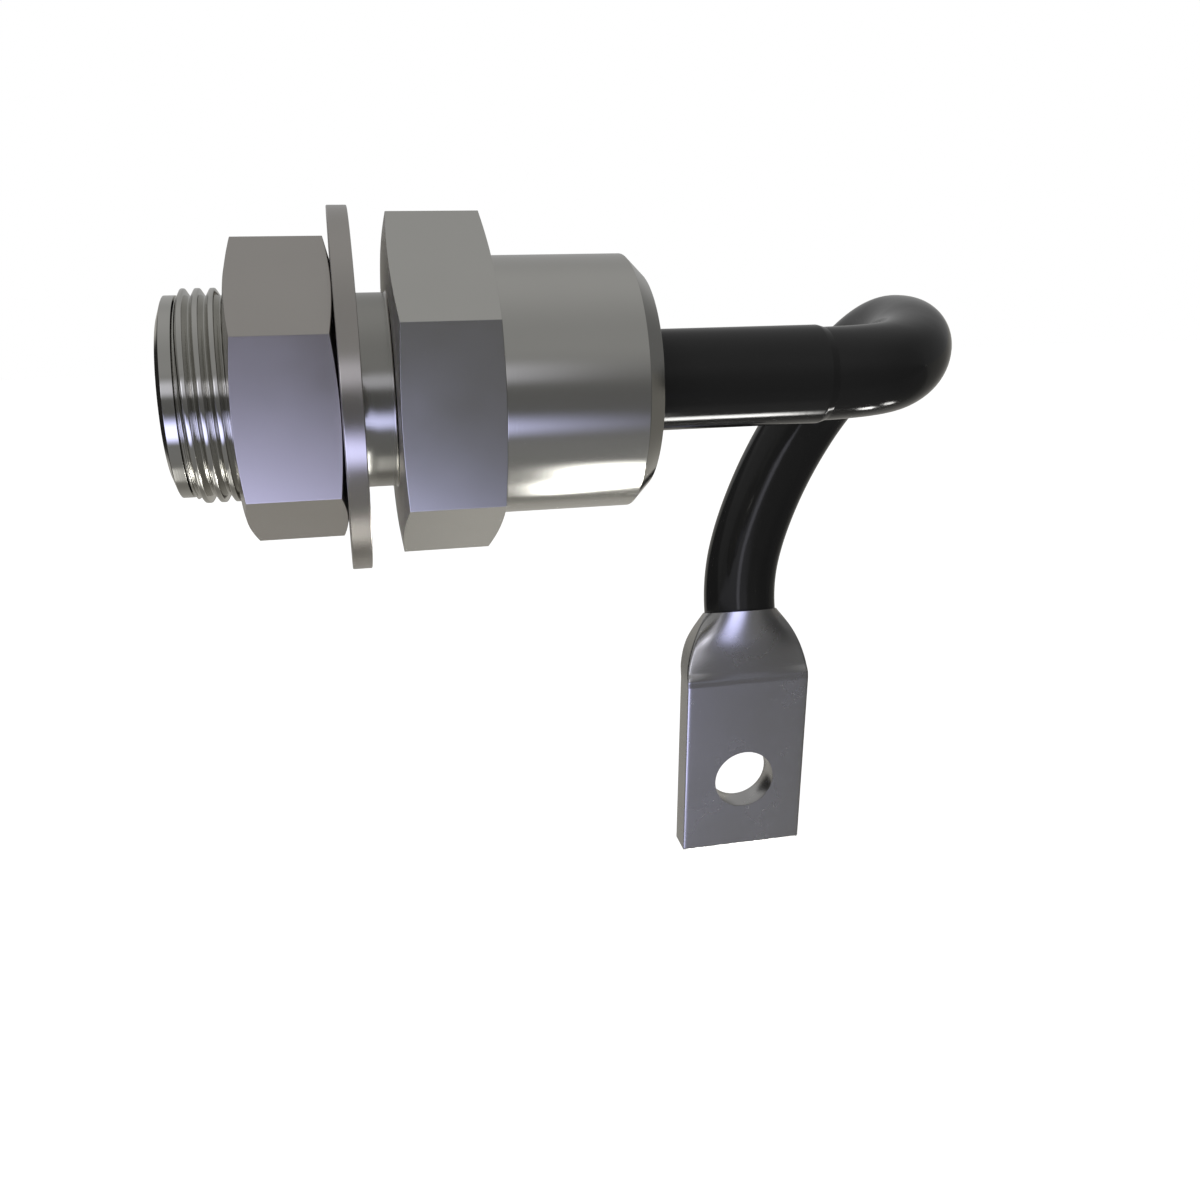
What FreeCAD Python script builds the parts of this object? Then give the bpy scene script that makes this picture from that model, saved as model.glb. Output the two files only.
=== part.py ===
# Stud-mounted rectifier diode with a flexible pigtail lead and a cable lug.
#
# Frame: millimetres, +Z up. X is the axis of the threaded stud. The origin is the centre of the
# face by which the hexagonal base seats on a heat sink: the stud points to -X, the housing and the
# lead to +X. The lug hangs at the lead's far end, its tongue parallel to the XZ plane.
#
# Every turned piece is a revolved profile in its own body. The profile is drawn from the piece's
# own seat at local x = 0, and the body is placed at the level where the piece seats, so the pieces
# stay stacked whatever size changes.

import FreeCAD, Part

import math
import os

import Sketcher
from FreeCAD import Placement, Rotation, Vector

doc = FreeCAD.newDocument("StudDiode")

# Driving dimensions

sheet = doc.addObject("Spreadsheet::Sheet", "Dims")

DIMENSIONS = [
    # hexagonal base and stud
    ("hex_flats", 31.75, "base hexagon across flats"),
    ("rim_allowance", 0.4, "turned blank beyond the hexagon's corners"),
    ("base_thickness", 10.52, "seating face to the face that carries the housing"),
    ("seat_face_radius", 15.54, "flat circle of the seating face"),
    ("seat_chamfer_angle", 7.7, "chamfer of the base at the seating face, degrees"),
    ("shoulder_face_radius", 14.0, "flat circle on the housing side"),
    ("shoulder_angle", 7.6, "chamfer of the base on the housing side, degrees"),
    ("pedestal_radius", 10.5, "raised seat for the silicon stack"),
    ("pedestal_height", 1.5, "height of that seat"),
    ("stud_length", 22.8, "seating face to the stud's end"),
    ("thread_radius", 11.0, "stud thread, outer radius"),
    ("neck_radius", 10.22, "plain neck behind the seating face"),
    ("neck_length", 4.2, "length of that neck"),
    ("runout_length", 0.6, "cone from the neck to the thread"),
    ("tip_face_radius", 8.7, "flat end of the stud"),
    ("tip_shoulder_radius", 10.1, "foot of the shallow end bevel"),
    ("tip_bevel_length", 0.53, "length of that bevel"),
    ("tip_radius", 10.33, "plain lead-in of the stud"),
    ("tip_edge_length", 0.1, "edge break of the lead-in"),
    ("tip_length", 1.6, "stud's end to the foot of the first thread"),
    ("tip_cone_length", 0.4, "cone from the lead-in to the thread"),
    # washer and nut
    ("seat_gap", 3.43, "bare neck between the seating face and the washer"),
    ("washer_thickness", 2.05, "flat washer"),
    ("washer_radius", 18.95, "its outer radius"),
    ("washer_bore_radius", 11.5, "its bore"),
    ("washer_edge", 0.2, "its edge break"),
    ("nut_flats", 27.7, "nut across flats"),
    ("nut_thickness", 10.4, "nut"),
    ("nut_bore_clearance", 0.05, "nut bore outside the thread"),
    ("nut_outer_face_radius", 13.2, "flat circle of the nut's outer face"),
    ("nut_outer_angle", 14.3, "its chamfer, degrees"),
    ("nut_inner_face_radius", 13.45, "flat circle of the nut's washer face"),
    ("nut_inner_angle", 13.1, "its chamfer, degrees"),
    ("nut_countersink", 0.5, "countersink of the nut's bore at both faces"),
    # housing
    ("housing_radius", 13.8, "outer radius of the drawn can"),
    ("housing_wall", 1.3, "its side wall"),
    ("housing_end_wall", 1.8, "its end wall"),
    ("housing_chamfer", 2.0, "its outer end chamfer"),
    # silicon stack, from the pedestal up
    ("lower_disc_radius", 9.0, "lower molybdenum disc"),
    ("lower_disc_thickness", 1.6, ""),
    ("wafer_radius", 8.5, "silicon wafer"),
    ("wafer_thickness", 0.4, ""),
    ("upper_disc_radius", 6.5, "upper molybdenum disc"),
    ("upper_disc_thickness", 1.0, ""),
    ("passivation_skirt", 0.8, "rubber ring around the lower disc, down from the wafer"),
    ("passivation_wall", 1.0, "rubber ring outside the lower disc"),
    ("passivation_cap", 0.4, "rubber ring above the wafer"),
    ("passivation_lap", 1.3, "rubber ring over the wafer's rim"),
    ("centring_inner_clearance", 0.2, "centring ring outside the rubber ring"),
    ("centring_wall", 2.2, "centring ring"),
    ("centring_height", 4.0, ""),
    # contact electrode and spring stack
    ("electrode_radius", 8.0, "flange of the contact electrode"),
    ("electrode_flange", 2.2, "its thickness"),
    ("stem_radius", 3.8, "its stem, the same as the lead's conductor"),
    ("bush_clearance", 0.15, "insulating bush around the stem"),
    ("bush_wall", 0.85, ""),
    ("bush_flange", 1.2, ""),
    ("bush_above_springs", 0.35, "bush beyond the top spring"),
    ("spring_clearance", 0.15, "disc springs around the bush"),
    ("spring_outer_radius", 9.5, ""),
    ("spring_thickness", 1.0, ""),
    ("spring_cone", 0.45, "cone height of each disc spring"),
    ("thrust_thickness", 1.2, "hardened washer under the springs"),
    ("pressure_ring_thickness", 1.5, "ring between the springs and the end wall"),
    ("pressure_ring_lap", 0.9, "its lap over the top spring's edge"),
    ("pressure_ring_clearance", 0.2, "its gap to the housing"),
    # glass seal and terminal tube
    ("terminal_clearance", 0.05, "crimped tube around the stem and the conductor"),
    ("terminal_wall", 0.75, "tube inside the glass"),
    ("terminal_inset", 0.3, "gap from the bush to the tube"),
    ("glass_wall", 1.9, "glass between the tube and the eyelet"),
    ("glass_length", 2.2, ""),
    ("eyelet_wall", 0.8, "metal eyelet around the glass"),
    ("eyelet_flange_width", 1.1, "its flange below the end wall"),
    ("eyelet_flange_thickness", 0.6, ""),
    ("stem_reach", 6.0, "stem beyond the end wall, inside the crimp barrel"),
    ("barrel_length", 20.13, "crimp barrel from the end wall"),
    ("conductor_reach", 12.0, "bared conductor inside the barrel"),
    # sleeve and lead
    ("lead_radius", 5.35, "insulated lead, and the crimp barrel under the sleeve"),
    ("sleeve_wall", 0.29, "sleeve over the barrel and the lead's first stretch"),
    ("sleeve_overlap", 2.0, "sleeve over the lead"),
    ("bend_share", 0.45, "share of the shorter run that an arc of the route takes"),
    ("lead_exit_run", 8.4, "straight first run of the lead"),
    ("lead_b_x", 15.1, "second corner of the route, from the lead's start"),
    ("lead_b_y", 5.1, ""),
    ("lead_b_z", 0.4, ""),
    ("lead_c_x", 20.3, "third corner"),
    ("lead_c_y", 14.6, ""),
    ("lead_c_z", 1.7, ""),
    ("lead_d_x", 21.5, "fourth corner"),
    ("lead_d_y", 26.9, ""),
    ("lead_d_z", 0.4, ""),
    ("lead_e_x", 17.2, "fifth corner"),
    ("lead_e_y", 34.6, ""),
    ("lead_e_z", -8.7, ""),
    ("lead_f_x", 11.1, "sixth corner"),
    ("lead_f_y", 34.8, ""),
    ("lead_f_z", -18.7, ""),
    ("lead_g_x", 6.6, "seventh corner"),
    ("lead_g_y", 33.7, ""),
    ("lead_g_z", -28.7, ""),
    ("lead_h_x", 4.3, "eighth corner, above the lug"),
    ("lead_h_y", 31.75, ""),
    ("lead_h_z", -36.75, ""),
    ("lead_lean", 20.0, "lean of the last run from the vertical, degrees"),
    ("lead_last_run", 4.5, "last run, down to the lug"),
    # lug
    ("lug_width", 19.1, "tongue"),
    ("lug_thickness", 4.08, ""),
    ("lug_length", 28.0, "fold to the tongue's end"),
    ("lug_edge_radius", 0.25, "edge round of the tongue"),
    ("lug_hole_radius", 4.65, ""),
    ("lug_hole_drop", 16.5, "fold to the hole's centre"),
    ("lug_neck_radius", 5.55, "round end that takes the lead"),
    ("lug_dome_rise", 9.5, "fold to the centre of the round end, vertically"),
    ("lug_dome_lean", 21.1, "lean of the dome from the vertical, degrees"),
    ("lug_step_share", 0.075, "share of the dome's rise taken by the step at the fold"),
    ("lug_step", 0.35, "step of the dome out of the tongue's faces"),
    ("dome_share_low", 0.3, "dome sections, as shares of its rise"),
    ("dome_share_mid", 0.55, ""),
    ("dome_share_high", 0.78, ""),
    ("dome_width_power", 2.0, "how the shoulders close in along the rise"),
    ("dome_side_power", 1.5, "how the straight side dies out along the rise"),
    ("dome_centre_power", 1.3, "how the middle of the dome leans back along the rise"),
    ("dome_flat_least", 0.06, "straight left between the corner arcs of the round end"),
    ("socket_depth", 6.0, "conductor inside the lug"),
    ("socket_end_radius", 1.75, "crimped end of the conductor"),
]

for number, (alias, value, note) in enumerate(DIMENSIONS, start=1):
    sheet.set("A%d" % number, alias)
    sheet.set("B%d" % number, str(value))
    sheet.setAlias("B%d" % number, alias)
    sheet.set("C%d" % number, note)
doc.recompute()


def value_of(alias):
    """Read one driving dimension from the sheet."""
    return float(sheet.get(alias))


# Levels along the axis, as expressions of the driving dimensions

HEX_CORNER = "Dims.hex_flats / 2 / cos(30 deg)"
NUT_CORNER = "Dims.nut_flats / 2 / cos(30 deg)"
HOUSING_BORE = "Dims.housing_radius - Dims.housing_wall"

WASHER_LEVEL = "-Dims.seat_gap - Dims.washer_thickness"
NUT_LEVEL = WASHER_LEVEL + " - Dims.nut_thickness"

BASE_TOP = "Dims.base_thickness"
PEDESTAL_TOP = BASE_TOP + " + Dims.pedestal_height"
WAFER_LEVEL = PEDESTAL_TOP + " + Dims.lower_disc_thickness"
UPPER_DISC_LEVEL = WAFER_LEVEL + " + Dims.wafer_thickness"
ELECTRODE_LEVEL = UPPER_DISC_LEVEL + " + Dims.upper_disc_thickness"
BUSH_LEVEL = ELECTRODE_LEVEL + " + Dims.electrode_flange"
THRUST_LEVEL = BUSH_LEVEL + " + Dims.bush_flange"
SPRING_LEVEL = THRUST_LEVEL + " + Dims.thrust_thickness"
SPRING_PITCH = "(Dims.spring_thickness + Dims.spring_cone)"
SPRING_STACK = "3 * " + SPRING_PITCH
PRESSURE_RING_LEVEL = SPRING_LEVEL + " + " + SPRING_STACK
END_WALL_LEVEL = PRESSURE_RING_LEVEL + " + Dims.pressure_ring_thickness"
END_FACE_LEVEL = END_WALL_LEVEL + " + Dims.housing_end_wall"
LEAD_LEVEL = END_FACE_LEVEL + " + Dims.barrel_length"

BUSH_BORE = "Dims.stem_radius + Dims.bush_clearance"
BUSH_RADIUS = BUSH_BORE + " + Dims.bush_wall"
BUSH_TOP = "Dims.bush_flange + Dims.thrust_thickness + " + SPRING_STACK + " + Dims.bush_above_springs"
SPRING_BORE = BUSH_RADIUS + " + Dims.spring_clearance"
TERMINAL_LEVEL = BUSH_LEVEL + " + " + BUSH_TOP + " + Dims.terminal_inset"
TERMINAL_BORE = "Dims.stem_radius + Dims.terminal_clearance"
TERMINAL_RADIUS = TERMINAL_BORE + " + Dims.terminal_wall"
GLASS_RADIUS = TERMINAL_RADIUS + " + Dims.glass_wall"
EYELET_RADIUS = GLASS_RADIUS + " + Dims.eyelet_wall"


# Helpers

def origin_plane(body, role):
    """The body's own origin plane of the given role."""
    for feature in body.Origin.OriginFeatures:
        if feature.Role == role:
            return feature
    raise RuntimeError("no plane " + role)


def new_body(name, level="0"):
    """A body whose frame sits on the axis at the given level."""
    body = doc.addObject("PartDesign::Body", name + "_body")
    body.Label = name
    body.setExpression("Placement.Base.x", level)
    return body


def new_sketch(body, name, plane):
    """A sketch on one of the body's origin planes."""
    sketch = body.newObject("Sketcher::SketchObject", name)
    sketch.AttachmentSupport = [(origin_plane(body, plane), "")]
    sketch.MapMode = "FlatFace"
    return sketch


def evaluate(expression):
    """The present value of an expression, used only to draw a sketch near its final shape."""
    return float(sheet.evalExpression(expression))


def closed_profile(sketch, points):
    """Draw a closed polygon; each corner's two coordinates are bound to expressions."""
    spots = [Vector(evaluate(along), evaluate(out), 0) for along, out in points]
    count = len(points)
    for index in range(count):
        sketch.addGeometry(Part.LineSegment(spots[index], spots[(index + 1) % count]), False)
    for index in range(count):
        follower = (index + 1) % count
        sketch.addConstraint(Sketcher.Constraint("Coincident", index, 2, follower, 1))
    for index, (along, out) in enumerate(points):
        for kind, axis, text, now in (
            ("DistanceX", -2, along, spots[index].x),
            ("DistanceY", -1, out, spots[index].y),
        ):
            if text == "0":
                sketch.addConstraint(Sketcher.Constraint("PointOnObject", index, 1, axis))
                continue
            spot = sketch.addConstraint(Sketcher.Constraint(kind, index, 1, now))
            label = "corner_%d_%s" % (index, kind)
            sketch.renameConstraint(spot, label)
            sketch.setExpression("Constraints." + label, text)


def turned(name, level, points):
    """A piece turned about the X axis from a closed profile of (along, radius) corners."""
    body = new_body(name, level)
    sketch = new_sketch(body, name + "_profile", "XZ_Plane")
    closed_profile(sketch, points)
    feature = body.newObject("PartDesign::Revolution", name + "_turned")
    feature.Profile = sketch
    feature.ReferenceAxis = (sketch, ["H_Axis"])
    feature.Angle = 360
    return body


def tube(name, level, bore, radius, length):
    """A plain ring or tube."""
    return turned(name, level, [("0", bore), ("0", radius), (length, radius), (length, bore)])


def cut_hexagon(body, name, flats, rim):
    """Cut six flats, with one corner straight up, through the whole turned blank."""
    sketch = new_sketch(body, name + "_flats", "YZ_Plane")
    corner = evaluate(flats) / 2 / math.cos(math.radians(30))
    spots = []
    for index in range(6):
        angle = math.radians(90 + 60 * index)
        spots.append(Vector(corner * math.cos(angle), corner * math.sin(angle), 0))
    for index in range(6):
        sketch.addGeometry(Part.LineSegment(spots[index], spots[(index + 1) % 6]), False)
    outer = sketch.addGeometry(Part.Circle(Vector(0, 0, 0), Vector(0, 0, 1), evaluate(rim)), False)
    guide = sketch.addGeometry(Part.Circle(Vector(0, 0, 0), Vector(0, 0, 1), corner), True)
    for index in range(6):
        sketch.addConstraint(Sketcher.Constraint("Coincident", index, 2, (index + 1) % 6, 1))
    for index in range(6):
        sketch.addConstraint(Sketcher.Constraint("PointOnObject", index, 1, guide))
    for index in range(5):
        sketch.addConstraint(Sketcher.Constraint("Equal", index, index + 1))
    sketch.addConstraint(Sketcher.Constraint("PointOnObject", 0, 1, -2))
    sketch.addConstraint(Sketcher.Constraint("Coincident", outer, 3, -1, 1))
    sketch.addConstraint(Sketcher.Constraint("Coincident", guide, 3, -1, 1))
    size = sketch.addConstraint(Sketcher.Constraint("Radius", guide, corner))
    sketch.renameConstraint(size, "corner_radius")
    sketch.setExpression("Constraints.corner_radius", flats + " / 2 / cos(30 deg)")
    reach = sketch.addConstraint(Sketcher.Constraint("Radius", outer, evaluate(rim)))
    sketch.renameConstraint(reach, "rim_radius")
    sketch.setExpression("Constraints.rim_radius", rim)
    pocket = body.newObject("PartDesign::Pocket", name + "_hexagon")
    pocket.Profile = sketch
    pocket.Type = "ThroughAll"
    pocket.Midplane = True
    return pocket


def rounded_rectangle(sketch, width, thickness, corner):
    """A rectangle centred on the sketch's origin, with four equal corner arcs."""
    half_w = evaluate(width) / 2
    half_t = evaluate(thickness) / 2
    radius = evaluate(corner)
    inner_w = half_w - radius
    inner_t = half_t - radius
    normal = Vector(0, 0, 1)
    sketch.addGeometry(Part.LineSegment(Vector(-inner_w, -half_t, 0), Vector(inner_w, -half_t, 0)), False)
    sketch.addGeometry(Part.LineSegment(Vector(half_w, -inner_t, 0), Vector(half_w, inner_t, 0)), False)
    sketch.addGeometry(Part.LineSegment(Vector(inner_w, half_t, 0), Vector(-inner_w, half_t, 0)), False)
    sketch.addGeometry(Part.LineSegment(Vector(-half_w, inner_t, 0), Vector(-half_w, -inner_t, 0)), False)
    corners = [
        (Vector(inner_w, -inner_t, 0), 270),
        (Vector(inner_w, inner_t, 0), 0),
        (Vector(-inner_w, inner_t, 0), 90),
        (Vector(-inner_w, -inner_t, 0), 180),
    ]
    for centre, start in corners:
        circle = Part.Circle(centre, normal, radius)
        first = math.radians(start)
        sketch.addGeometry(Part.ArcOfCircle(circle, first, first + math.pi / 2), False)
    for side in range(4):
        arc = 4 + side
        sketch.addConstraint(Sketcher.Constraint("Tangent", side, 2, arc, 1))
        sketch.addConstraint(Sketcher.Constraint("Tangent", arc, 2, (side + 1) % 4, 1))
    for side in (0, 2):
        sketch.addConstraint(Sketcher.Constraint("Horizontal", side))
    for side in (1, 3):
        sketch.addConstraint(Sketcher.Constraint("Vertical", side))
    for arc in (5, 6, 7):
        sketch.addConstraint(Sketcher.Constraint("Equal", 4, arc))
    sketch.addConstraint(Sketcher.Constraint("Symmetric", 4, 3, 6, 3, -1, 1))
    for name, kind, first, second, size, text in (
        ("width", "DistanceX", (3, 1), (1, 1), 2 * half_w, width),
        ("thickness", "DistanceY", (0, 1), (2, 1), 2 * half_t, thickness),
    ):
        spot = sketch.addConstraint(Sketcher.Constraint(kind, *first, *second, size))
        sketch.renameConstraint(spot, name)
        sketch.setExpression("Constraints." + name, text)
    spot = sketch.addConstraint(Sketcher.Constraint("Radius", 4, radius))
    sketch.renameConstraint(spot, "corner")
    sketch.setExpression("Constraints.corner", corner)


# Base with stud, washer and nut

HEX_BLANK = HEX_CORNER + " + Dims.rim_allowance"
SEAT_DEPTH = "(" + HEX_BLANK + " - Dims.seat_face_radius) * tan(Dims.seat_chamfer_angle * 1 deg)"
SHOULDER_DEPTH = "(" + HEX_BLANK + " - Dims.shoulder_face_radius) * tan(Dims.shoulder_angle * 1 deg)"

stud_base = turned("stud_base", "-Dims.stud_length", [
    ("0", "0"),
    ("0", "Dims.tip_face_radius"),
    ("Dims.tip_bevel_length", "Dims.tip_shoulder_radius"),
    ("Dims.tip_bevel_length + Dims.tip_edge_length", "Dims.tip_radius"),
    ("Dims.tip_length", "Dims.tip_radius"),
    ("Dims.tip_length + Dims.tip_cone_length", "Dims.thread_radius"),
    ("Dims.stud_length - Dims.neck_length - Dims.runout_length", "Dims.thread_radius"),
    ("Dims.stud_length - Dims.neck_length", "Dims.neck_radius"),
    ("Dims.stud_length", "Dims.neck_radius"),
    ("Dims.stud_length", "Dims.seat_face_radius"),
    ("Dims.stud_length + " + SEAT_DEPTH, HEX_BLANK),
    ("Dims.stud_length + Dims.base_thickness - " + SHOULDER_DEPTH, HEX_BLANK),
    ("Dims.stud_length + Dims.base_thickness", "Dims.shoulder_face_radius"),
    ("Dims.stud_length + Dims.base_thickness", "Dims.pedestal_radius"),
    ("Dims.stud_length + Dims.base_thickness + Dims.pedestal_height", "Dims.pedestal_radius"),
    ("Dims.stud_length + Dims.base_thickness + Dims.pedestal_height", "0"),
])
cut_hexagon(stud_base, "stud_base", "Dims.hex_flats", HEX_BLANK + " + Dims.rim_allowance")

flat_washer = turned("flat_washer", WASHER_LEVEL, [
    ("0", "Dims.washer_bore_radius"),
    ("0", "Dims.washer_radius - Dims.washer_edge"),
    ("Dims.washer_edge", "Dims.washer_radius"),
    ("Dims.washer_thickness - Dims.washer_edge", "Dims.washer_radius"),
    ("Dims.washer_thickness", "Dims.washer_radius - Dims.washer_edge"),
    ("Dims.washer_thickness", "Dims.washer_bore_radius"),
])

NUT_BLANK = NUT_CORNER + " + Dims.rim_allowance"
NUT_BORE = "Dims.thread_radius + Dims.nut_bore_clearance"
NUT_OUTER_DEPTH = "(" + NUT_BLANK + " - Dims.nut_outer_face_radius) * tan(Dims.nut_outer_angle * 1 deg)"
NUT_INNER_DEPTH = "(" + NUT_BLANK + " - Dims.nut_inner_face_radius) * tan(Dims.nut_inner_angle * 1 deg)"

hex_nut = turned("hex_nut", NUT_LEVEL, [
    ("0", NUT_BORE + " + Dims.nut_countersink"),
    ("0", "Dims.nut_outer_face_radius"),
    (NUT_OUTER_DEPTH, NUT_BLANK),
    ("Dims.nut_thickness - " + NUT_INNER_DEPTH, NUT_BLANK),
    ("Dims.nut_thickness", "Dims.nut_inner_face_radius"),
    ("Dims.nut_thickness", NUT_BORE + " + Dims.nut_countersink"),
    ("Dims.nut_thickness - Dims.nut_countersink", NUT_BORE),
    ("Dims.nut_countersink", NUT_BORE),
])
cut_hexagon(hex_nut, "hex_nut", "Dims.nut_flats", NUT_BLANK + " + Dims.rim_allowance")

# Housing and what it holds under spring pressure

HOUSING_LENGTH = "(" + END_FACE_LEVEL + ") - Dims.base_thickness"

housing = turned("housing", BASE_TOP, [
    ("0", HOUSING_BORE),
    ("0", "Dims.housing_radius"),
    (HOUSING_LENGTH + " - Dims.housing_chamfer", "Dims.housing_radius"),
    (HOUSING_LENGTH, "Dims.housing_radius - Dims.housing_chamfer"),
    (HOUSING_LENGTH, EYELET_RADIUS),
    (HOUSING_LENGTH + " - Dims.housing_end_wall", EYELET_RADIUS),
    (HOUSING_LENGTH + " - Dims.housing_end_wall", HOUSING_BORE),
])

weld_ring = tube("weld_ring", BASE_TOP, "Dims.pedestal_radius", HOUSING_BORE, "Dims.pedestal_height")


def disc(name, level, radius, thickness):
    """A plain round disc on the axis."""
    return turned(name, level, [("0", "0"), ("0", radius), (thickness, radius), (thickness, "0")])


lower_disc = disc("lower_molybdenum_disc", PEDESTAL_TOP, "Dims.lower_disc_radius",
                  "Dims.lower_disc_thickness")
wafer = disc("silicon_wafer", WAFER_LEVEL, "Dims.wafer_radius", "Dims.wafer_thickness")
upper_disc = disc("upper_molybdenum_disc", UPPER_DISC_LEVEL, "Dims.upper_disc_radius",
                  "Dims.upper_disc_thickness")

RUBBER_WAFER_BOTTOM = "Dims.passivation_skirt"
RUBBER_WAFER_TOP = "Dims.passivation_skirt + Dims.wafer_thickness"
RUBBER_RADIUS = "Dims.lower_disc_radius + Dims.passivation_wall"
RUBBER_LIP = "Dims.wafer_radius - Dims.passivation_lap"

passivation_ring = turned("passivation_ring", WAFER_LEVEL + " - Dims.passivation_skirt", [
    ("0", "Dims.lower_disc_radius"),
    ("0", RUBBER_RADIUS),
    (RUBBER_WAFER_TOP + " + Dims.passivation_cap", RUBBER_RADIUS),
    (RUBBER_WAFER_TOP + " + Dims.passivation_cap", RUBBER_LIP),
    (RUBBER_WAFER_TOP, RUBBER_LIP),
    (RUBBER_WAFER_TOP, "Dims.wafer_radius"),
    (RUBBER_WAFER_BOTTOM, "Dims.wafer_radius"),
    (RUBBER_WAFER_BOTTOM, "Dims.lower_disc_radius"),
])

CENTRING_BORE = RUBBER_RADIUS + " + Dims.centring_inner_clearance"
centring_ring = tube("centring_ring", PEDESTAL_TOP, CENTRING_BORE, CENTRING_BORE + " + Dims.centring_wall",
                     "Dims.centring_height")

STEM_TOP = "(" + END_FACE_LEVEL + ") - (" + ELECTRODE_LEVEL + ") + Dims.stem_reach"
contact_electrode = turned("contact_electrode", ELECTRODE_LEVEL, [
    ("0", "0"),
    ("0", "Dims.electrode_radius"),
    ("Dims.electrode_flange", "Dims.electrode_radius"),
    ("Dims.electrode_flange", "Dims.stem_radius"),
    (STEM_TOP, "Dims.stem_radius"),
    (STEM_TOP, "0"),
])

insulating_bush = turned("insulating_bush", BUSH_LEVEL, [
    ("0", BUSH_BORE),
    ("0", "Dims.electrode_radius"),
    ("Dims.bush_flange", "Dims.electrode_radius"),
    ("Dims.bush_flange", BUSH_RADIUS),
    (BUSH_TOP, BUSH_RADIUS),
    (BUSH_TOP, BUSH_BORE),
])

thrust_washer = tube("thrust_washer", THRUST_LEVEL, SPRING_BORE, "Dims.spring_outer_radius",
                     "Dims.thrust_thickness")


def disc_spring(name, level, bore_start, rim_start):
    """A conical disc spring: the same thickness from bore to rim, one of them raised by the cone."""
    return turned(name, level, [
        (bore_start, SPRING_BORE),
        (rim_start, "Dims.spring_outer_radius"),
        (rim_start + " + Dims.spring_thickness", "Dims.spring_outer_radius"),
        (bore_start + " + Dims.spring_thickness", SPRING_BORE),
    ])


RAISED = "Dims.spring_cone"
disc_spring_1 = disc_spring("disc_spring_1", SPRING_LEVEL, "0", RAISED)
disc_spring_2 = disc_spring("disc_spring_2", SPRING_LEVEL + " + " + SPRING_PITCH, RAISED, "0")
disc_spring_3 = disc_spring("disc_spring_3", SPRING_LEVEL + " + 2 * " + SPRING_PITCH, "0", RAISED)

pressure_ring = tube("pressure_ring", PRESSURE_RING_LEVEL,
                     "Dims.spring_outer_radius - Dims.pressure_ring_lap",
                     HOUSING_BORE + " - Dims.pressure_ring_clearance", "Dims.pressure_ring_thickness")

# Glass seal, terminal tube and sleeve

EYELET_LENGTH = "Dims.eyelet_flange_thickness + Dims.housing_end_wall"
seal_eyelet = turned("seal_eyelet", END_WALL_LEVEL + " - Dims.eyelet_flange_thickness", [
    ("0", GLASS_RADIUS),
    ("0", EYELET_RADIUS + " + Dims.eyelet_flange_width"),
    ("Dims.eyelet_flange_thickness", EYELET_RADIUS + " + Dims.eyelet_flange_width"),
    ("Dims.eyelet_flange_thickness", EYELET_RADIUS),
    (EYELET_LENGTH, EYELET_RADIUS),
    (EYELET_LENGTH, GLASS_RADIUS),
])

glass_seal = tube("glass_seal", END_FACE_LEVEL + " - Dims.glass_length", TERMINAL_RADIUS, GLASS_RADIUS,
                  "Dims.glass_length")

BARREL_START = "(" + END_FACE_LEVEL + ") - (" + TERMINAL_LEVEL + ")"
terminal_tube = turned("terminal_tube", TERMINAL_LEVEL, [
    ("0", TERMINAL_BORE),
    ("0", TERMINAL_RADIUS),
    (BARREL_START, TERMINAL_RADIUS),
    (BARREL_START, "Dims.lead_radius"),
    (BARREL_START + " + Dims.barrel_length", "Dims.lead_radius"),
    (BARREL_START + " + Dims.barrel_length", TERMINAL_BORE),
])

lead_sleeve = tube("lead_sleeve", END_FACE_LEVEL, "Dims.lead_radius", "Dims.lead_radius + Dims.sleeve_wall",
                   "Dims.barrel_length + Dims.sleeve_overlap")

# Route of the lead: straight runs joined by tangent arcs

lead_start = Vector(evaluate(LEAD_LEVEL), 0, 0)
lean = math.radians(value_of("lead_lean"))
down = Vector(0, -math.sin(lean), -math.cos(lean))

route = [lead_start, lead_start + Vector(value_of("lead_exit_run"), 0, 0)]
for corner_name in "bcdefgh":
    step = [value_of("lead_%s_%s" % (corner_name, axis)) for axis in "xyz"]
    route.append(lead_start + Vector(*step))
route.append(route[-1] + down * value_of("lead_last_run"))


def route_wire(points):
    """Straight runs joined by arcs as large as the runs allow; also the length and the radii."""
    share = value_of("bend_share")
    edges = []
    radii = []
    length = 0.0
    at = points[0]
    for before, here, after in zip(points, points[1:], points[2:]):
        back = (before - here).normalize()
        ahead = (after - here).normalize()
        turn = math.pi - back.getAngle(ahead)
        cut = share * min((before - here).Length, (after - here).Length)
        radius = cut / math.tan(turn / 2)
        first = here + back * cut
        last = here + ahead * cut
        inward = (back + ahead).normalize()
        centre = here + inward * (radius / math.cos(turn / 2))
        middle = centre - inward * radius
        edges.append(Part.LineSegment(at, first).toShape())
        edges.append(Part.Arc(first, middle, last).toShape())
        length += (first - at).Length + radius * turn
        radii.append(radius)
        at = last
    edges.append(Part.LineSegment(at, points[-1]).toShape())
    length += (points[-1] - at).Length
    return Part.Wire(edges), length, radii


path, lead_length, bend_radii = route_wire(route)
print("lead length", round(lead_length, 2))
print("bend radii", [round(radius, 1) for radius in bend_radii])

lead_radius = value_of("lead_radius")
core_radius = value_of("stem_radius")
along_x = Vector(1, 0, 0)

core_circle = Part.Wire([Part.Circle(route[0], along_x, core_radius).toShape()])
skin_circle = Part.Wire([Part.Circle(route[0], along_x, lead_radius).toShape()])
skin_face = Part.makeFace([skin_circle, core_circle], "Part::FaceMakerBullseye")
core_face = Part.makeFace([core_circle], "Part::FaceMakerBullseye")

insulation_shape = path.makePipe(skin_face)
core_sweep = path.makePipe(core_face)

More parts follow.
